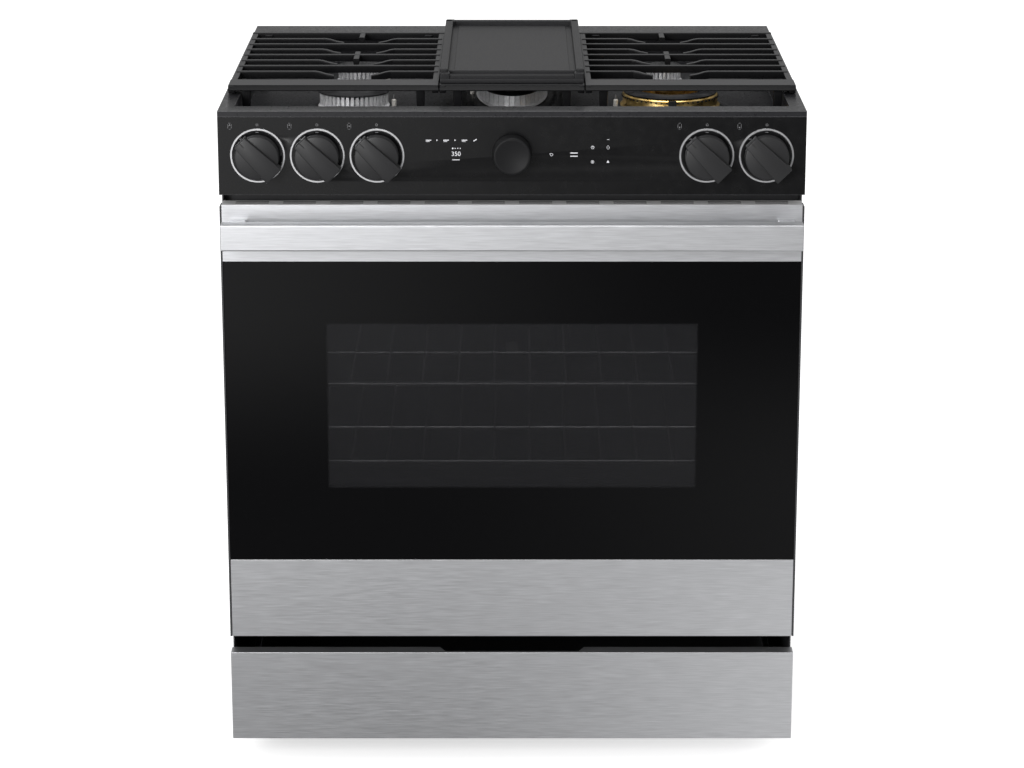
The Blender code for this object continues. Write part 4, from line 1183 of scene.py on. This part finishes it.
def burner_pads():
    shape = bmesh.new()
    for name in BURNERS:
        centre, radius, stretch, _, _ = burner_size(name)
        pad = radius + 0.014
        hidden = pad - 0.030 if stretch < 1.2 else pad * 0.5  # this point lies under the burner
        step = ((hidden, 0.0002), (pad, 0.0002), (pad - 0.004, 0.0012), (pad - 0.010, 0.0012))
        part = bmesh.new()
        lathe(part, step, (centre.x, centre.y, pan_floor - 0.0003), steps=72)
        stretch_along(part, centre, stretch)
        mesh = bpy.data.meshes.new("pad")
        part.to_mesh(mesh)
        part.free()
        shape.from_mesh(mesh)
    keep("burner_pads", shape, enamel, "range_body", ())


burner_pads()
print(len(BURNERS), "pads pressed")

# %% [markdown]
# ## Back, sides and fixings
# A range's back is a plated sheet with louvres and a row of hex screws, and its sides carry a large
# pressed field and two stiffening folds low down. All of it stays within 5 mm of the sheet.

# %% Screws and louvres
SCREW_RADIUS = 0.0042
LOUVRE_HALF = 0.055


def screw(shape, x, y, z, way, side=0):
    """A hex screw with a washer, standing out along Y, or along X when side is set."""
    lay = Matrix.Rotation(math.pi / 2, 4, "X") if not side else Matrix.Rotation(math.pi / 2, 4, "Y")
    for radius, height, sides in ((SCREW_RADIUS * 1.35, 0.0008, 20), (SCREW_RADIUS, 0.0026, 6)):
        offset = Vector((side * height / 2, way * height / 2, 0))
        bmesh.ops.create_cone(
            shape,
            cap_ends=True,
            segments=sides,
            radius1=radius,
            radius2=radius * 0.94,
            depth=height,
            matrix=Matrix.Translation(Vector((x, y, z)) + offset) @ lay,
        )


def back_details():
    low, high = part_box("back_panel")
    shape = bmesh.new()
    inset = 0.014
    for number in range(7):
        z = low.z + inset + number * (high.z - low.z - 2 * inset) / 6
        for x in (low.x + inset, high.x - inset):
            screw(shape, x, high.y, z, 1)
    for number in range(1, 5):
        x = low.x + number * (high.x - low.x) / 5
        for z in (low.z + inset, high.z - 0.045):
            screw(shape, x, high.y, z, 1)
    for x in (-0.16, 0.16):
        for row in range(9):
            z = 0.52 + row * 0.022
            near = (x - LOUVRE_HALF, high.y - 0.001, z)
            far = (x + LOUVRE_HALF, high.y + 0.0045, z + 0.009)
            louvre = bar(shape, near, far, 0.0012, 2)
            for corner in louvre:
                if corner.co.z > z + 0.006 and corner.co.y > high.y + 0.001:
                    corner.co.y = high.y + 0.0006
    for z in (0.30, 0.22):
        bar(shape, (-0.30, high.y - 0.001, z), (0.30, high.y + 0.0022, z + 0.006), 0.0012, 2)
    keep("back_fixings", shape, dull_steel, "range_body", ())


def side_details():
    sides = bmesh.new()
    pressed = bmesh.new()
    for name, way in (("side_panel_left", -1), ("side_panel_right", 1)):
        low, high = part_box(name)
        x = low.x if way < 0 else high.x
        ends = sorted((x - way * 0.0010, x + way * 0.0011))
        field_low = (ends[0], low.y + 0.07, low.z + 0.12)
        field_high = (ends[1], high.y - 0.07, high.z - 0.09)
        bar(pressed, field_low, field_high, 0.0010, 2)
        for z in (low.z + 0.055, low.z + 0.080):
            bar(pressed, (ends[0], low.y + 0.10, z), (ends[1], high.y - 0.10, z + 0.008), 0.0010, 2)
        for y in (low.y + 0.020, high.y - 0.020):
            for z in (0.065, 0.17):
                screw(sides, x - way * 0.0016, y, z, 0, way)
    keep("side_fixings", sides, dull_steel, "range_body", ())
    keep("side_pressings", pressed, paint, "range_body", ())


back_details()
side_details()
print("back and sides fitted")

# %% [markdown]
# ## Levelling feet
# A foot is a turned pad on a threaded stud. The thread is a stack of small ridges in the profile.

# %% Feet
PAD_HEIGHT = 0.0125
THREAD_PITCH = 0.0016
STUD_RADIUS = 0.0052


def foot(name):
    low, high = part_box(name)
    centre = (low + high) / 2
    base = Vector((centre.x, centre.y, low.z))
    radius = (high.x - low.x) / 2
    height = high.z - low.z
    profile = [(0, 0), (radius - 0.001, 0), (radius, 0.001), (radius, 0.008)]
    profile += [(radius - 0.002, 0.0105), (0.010, 0.012)]
    for number in range(int((height - PAD_HEIGHT) / THREAD_PITCH)):
        z = PAD_HEIGHT + number * THREAD_PITCH
        profile += [(STUD_RADIUS, z), (STUD_RADIUS + 0.0008, z + THREAD_PITCH / 2)]
    profile += [(STUD_RADIUS, height), (0, height)]
    shape = bmesh.new()
    lathe(shape, profile, base, steps=24)
    keep(f"{name}_turned", shape, dull_steel, body_of[name], (name,))


for name in nodes:
    if name.startswith("levelling_foot"):
        foot(name)
print("feet made")

# %% [markdown]
# ## Studio
# A pale floor runs under and behind the range. The sky lights it evenly, a large soft light stands front
# left, where it gives the steel its brighter left side, a smaller one fills from the right, and a third
# hangs over the cooktop. Two dim lamps in the oven show the racks through the window. Glossy rays see a
# darker studio, as they do with black flags around a set.

# %% Floor
FLOOR_HALF = 30.0
# strength of each card at its left and right end
NEAR_CARDS = (0.22, 0.86)
FAR_CARDS = (1.6, 0.16)


def ramp_along(tree, value, near, far, low, high):
    """A number that runs from low to high while the value runs from near to far."""
    scale = tree.nodes.new("ShaderNodeMapRange")
    scale.interpolation_type = "SMOOTHSTEP"
    scale.inputs["From Min"].default_value = near
    scale.inputs["From Max"].default_value = far
    for socket, wanted in (("To Min", low), ("To Max", high)):
        if isinstance(wanted, float):
            scale.inputs[socket].default_value = wanted
        else:
            tree.links.new(wanted, scale.inputs[socket])
    tree.links.new(value, scale.inputs["Value"])
    return scale.outputs["Result"]


def floor_finish():
    """White to look at. Polished pieces see a near and a far grey card on it."""
    material = finish("floor_pale", (0.86, 0.86, 0.86), 0.0, 0.9)
    tree = material.node_tree
    white = tree.nodes["Principled BSDF"]
    white.inputs["Emission Color"].default_value = (1.0, 1.0, 1.0, 1.0)
    white.inputs["Emission Strength"].default_value = 0.5
    place = tree.nodes.new("ShaderNodeTexCoord")
    apart = tree.nodes.new("ShaderNodeSeparateXYZ")
    tree.links.new(place.outputs["Object"], apart.inputs["Vector"])
    near_card = ramp_along(tree, apart.outputs["X"], -0.2, 0.7, *NEAR_CARDS)
    far_card = ramp_along(tree, apart.outputs["X"], -0.9, 0.5, *FAR_CARDS)
    strength = ramp_along(tree, apart.outputs["Y"], -2.8, -1.5, far_card, near_card)
    card = tree.nodes.new("ShaderNodeEmission")
    rays = tree.nodes.new("ShaderNodeLightPath")
    either = tree.nodes.new("ShaderNodeMixShader")
    tree.links.new(strength, card.inputs["Strength"])
    tree.links.new(rays.outputs["Is Glossy Ray"], either.inputs["Fac"])
    tree.links.new(white.outputs["BSDF"], either.inputs[1])
    tree.links.new(card.outputs["Emission"], either.inputs[2])
    tree.links.new(either.outputs["Shader"], tree.nodes["Material Output"].inputs["Surface"])
    return material


def make_floor():
    shape = bmesh.new()
    bmesh.ops.create_grid(shape, x_segments=2, y_segments=2, size=FLOOR_HALF)
    mesh = bpy.data.meshes.new("floor")
    shape.to_mesh(mesh)
    shape.free()
    floor = bpy.data.objects.new("floor", mesh)
    scene.collection.objects.link(floor)
    mesh.materials.append(floor_finish())

make_floor()
print("floor laid, half width", FLOOR_HALF, "m")

# %% [markdown]
# ### Lights and sky
# The key light is the strong one. The fill and the overhead light only lift the shadows.

# %% Lights and sky
OVEN_ROOF = 0.715


def area_light(name, place, target, size, power):
    data = bpy.data.lights.new(name, "AREA")
    data.shape = "RECTANGLE"
    data.size, data.size_y = size
    data.energy = power
    lamp = bpy.data.objects.new(name, data)
    lamp.location = place
    lamp.rotation_euler = (Vector(target) - Vector(place)).to_track_quat("-Z", "Y").to_euler()
    lamp.visible_camera = False
    scene.collection.objects.link(lamp)


def make_world():
    world = bpy.data.worlds.new("studio")
    scene.world = world
    world.use_nodes = True
    tree = world.node_tree
    ground = tree.nodes["Background"]
    ground.inputs["Color"].default_value = (1.0, 1.0, 1.0, 1.0)
    ground.inputs["Strength"].default_value = 0.85
    dim = tree.nodes.new("ShaderNodeBackground")
    dim.inputs["Color"].default_value = (1.0, 1.0, 1.0, 1.0)
    dim.inputs["Strength"].default_value = 0.50
    rays = tree.nodes.new("ShaderNodeLightPath")
    either = tree.nodes.new("ShaderNodeMixShader")
    tree.links.new(rays.outputs["Is Glossy Ray"], either.inputs["Fac"])
    tree.links.new(ground.outputs["Background"], either.inputs[1])
    tree.links.new(dim.outputs["Background"], either.inputs[2])
    tree.links.new(either.outputs["Shader"], tree.nodes["World Output"].inputs["Surface"])


make_world()
area_light("key", (-2.4, -5.0, 2.2), (-0.3, -0.3, 0.8), (2.4, 2.4), 270)
area_light("fill", (2.4, -2.0, 2.4), (0, 0, 0.5), (1.6, 1.6), 14)
area_light("overhead", (0.0, -0.1, 2.7), (0, 0, 0.9), (1.2, 0.5), 16)
area_light("oven_lamp", (0, front_y + 0.20, OVEN_ROOF), (0, front_y + 0.22, 0.3), (0.56, 0.24), 0.35)
area_light("oven_rear_lamp", (0, front_y + 0.40, OVEN_ROOF), (0, front_y + 0.50, 0.4), (0.56, 0.10), 0.4)
scene.view_settings.view_transform = "Standard"
print("studio lit")
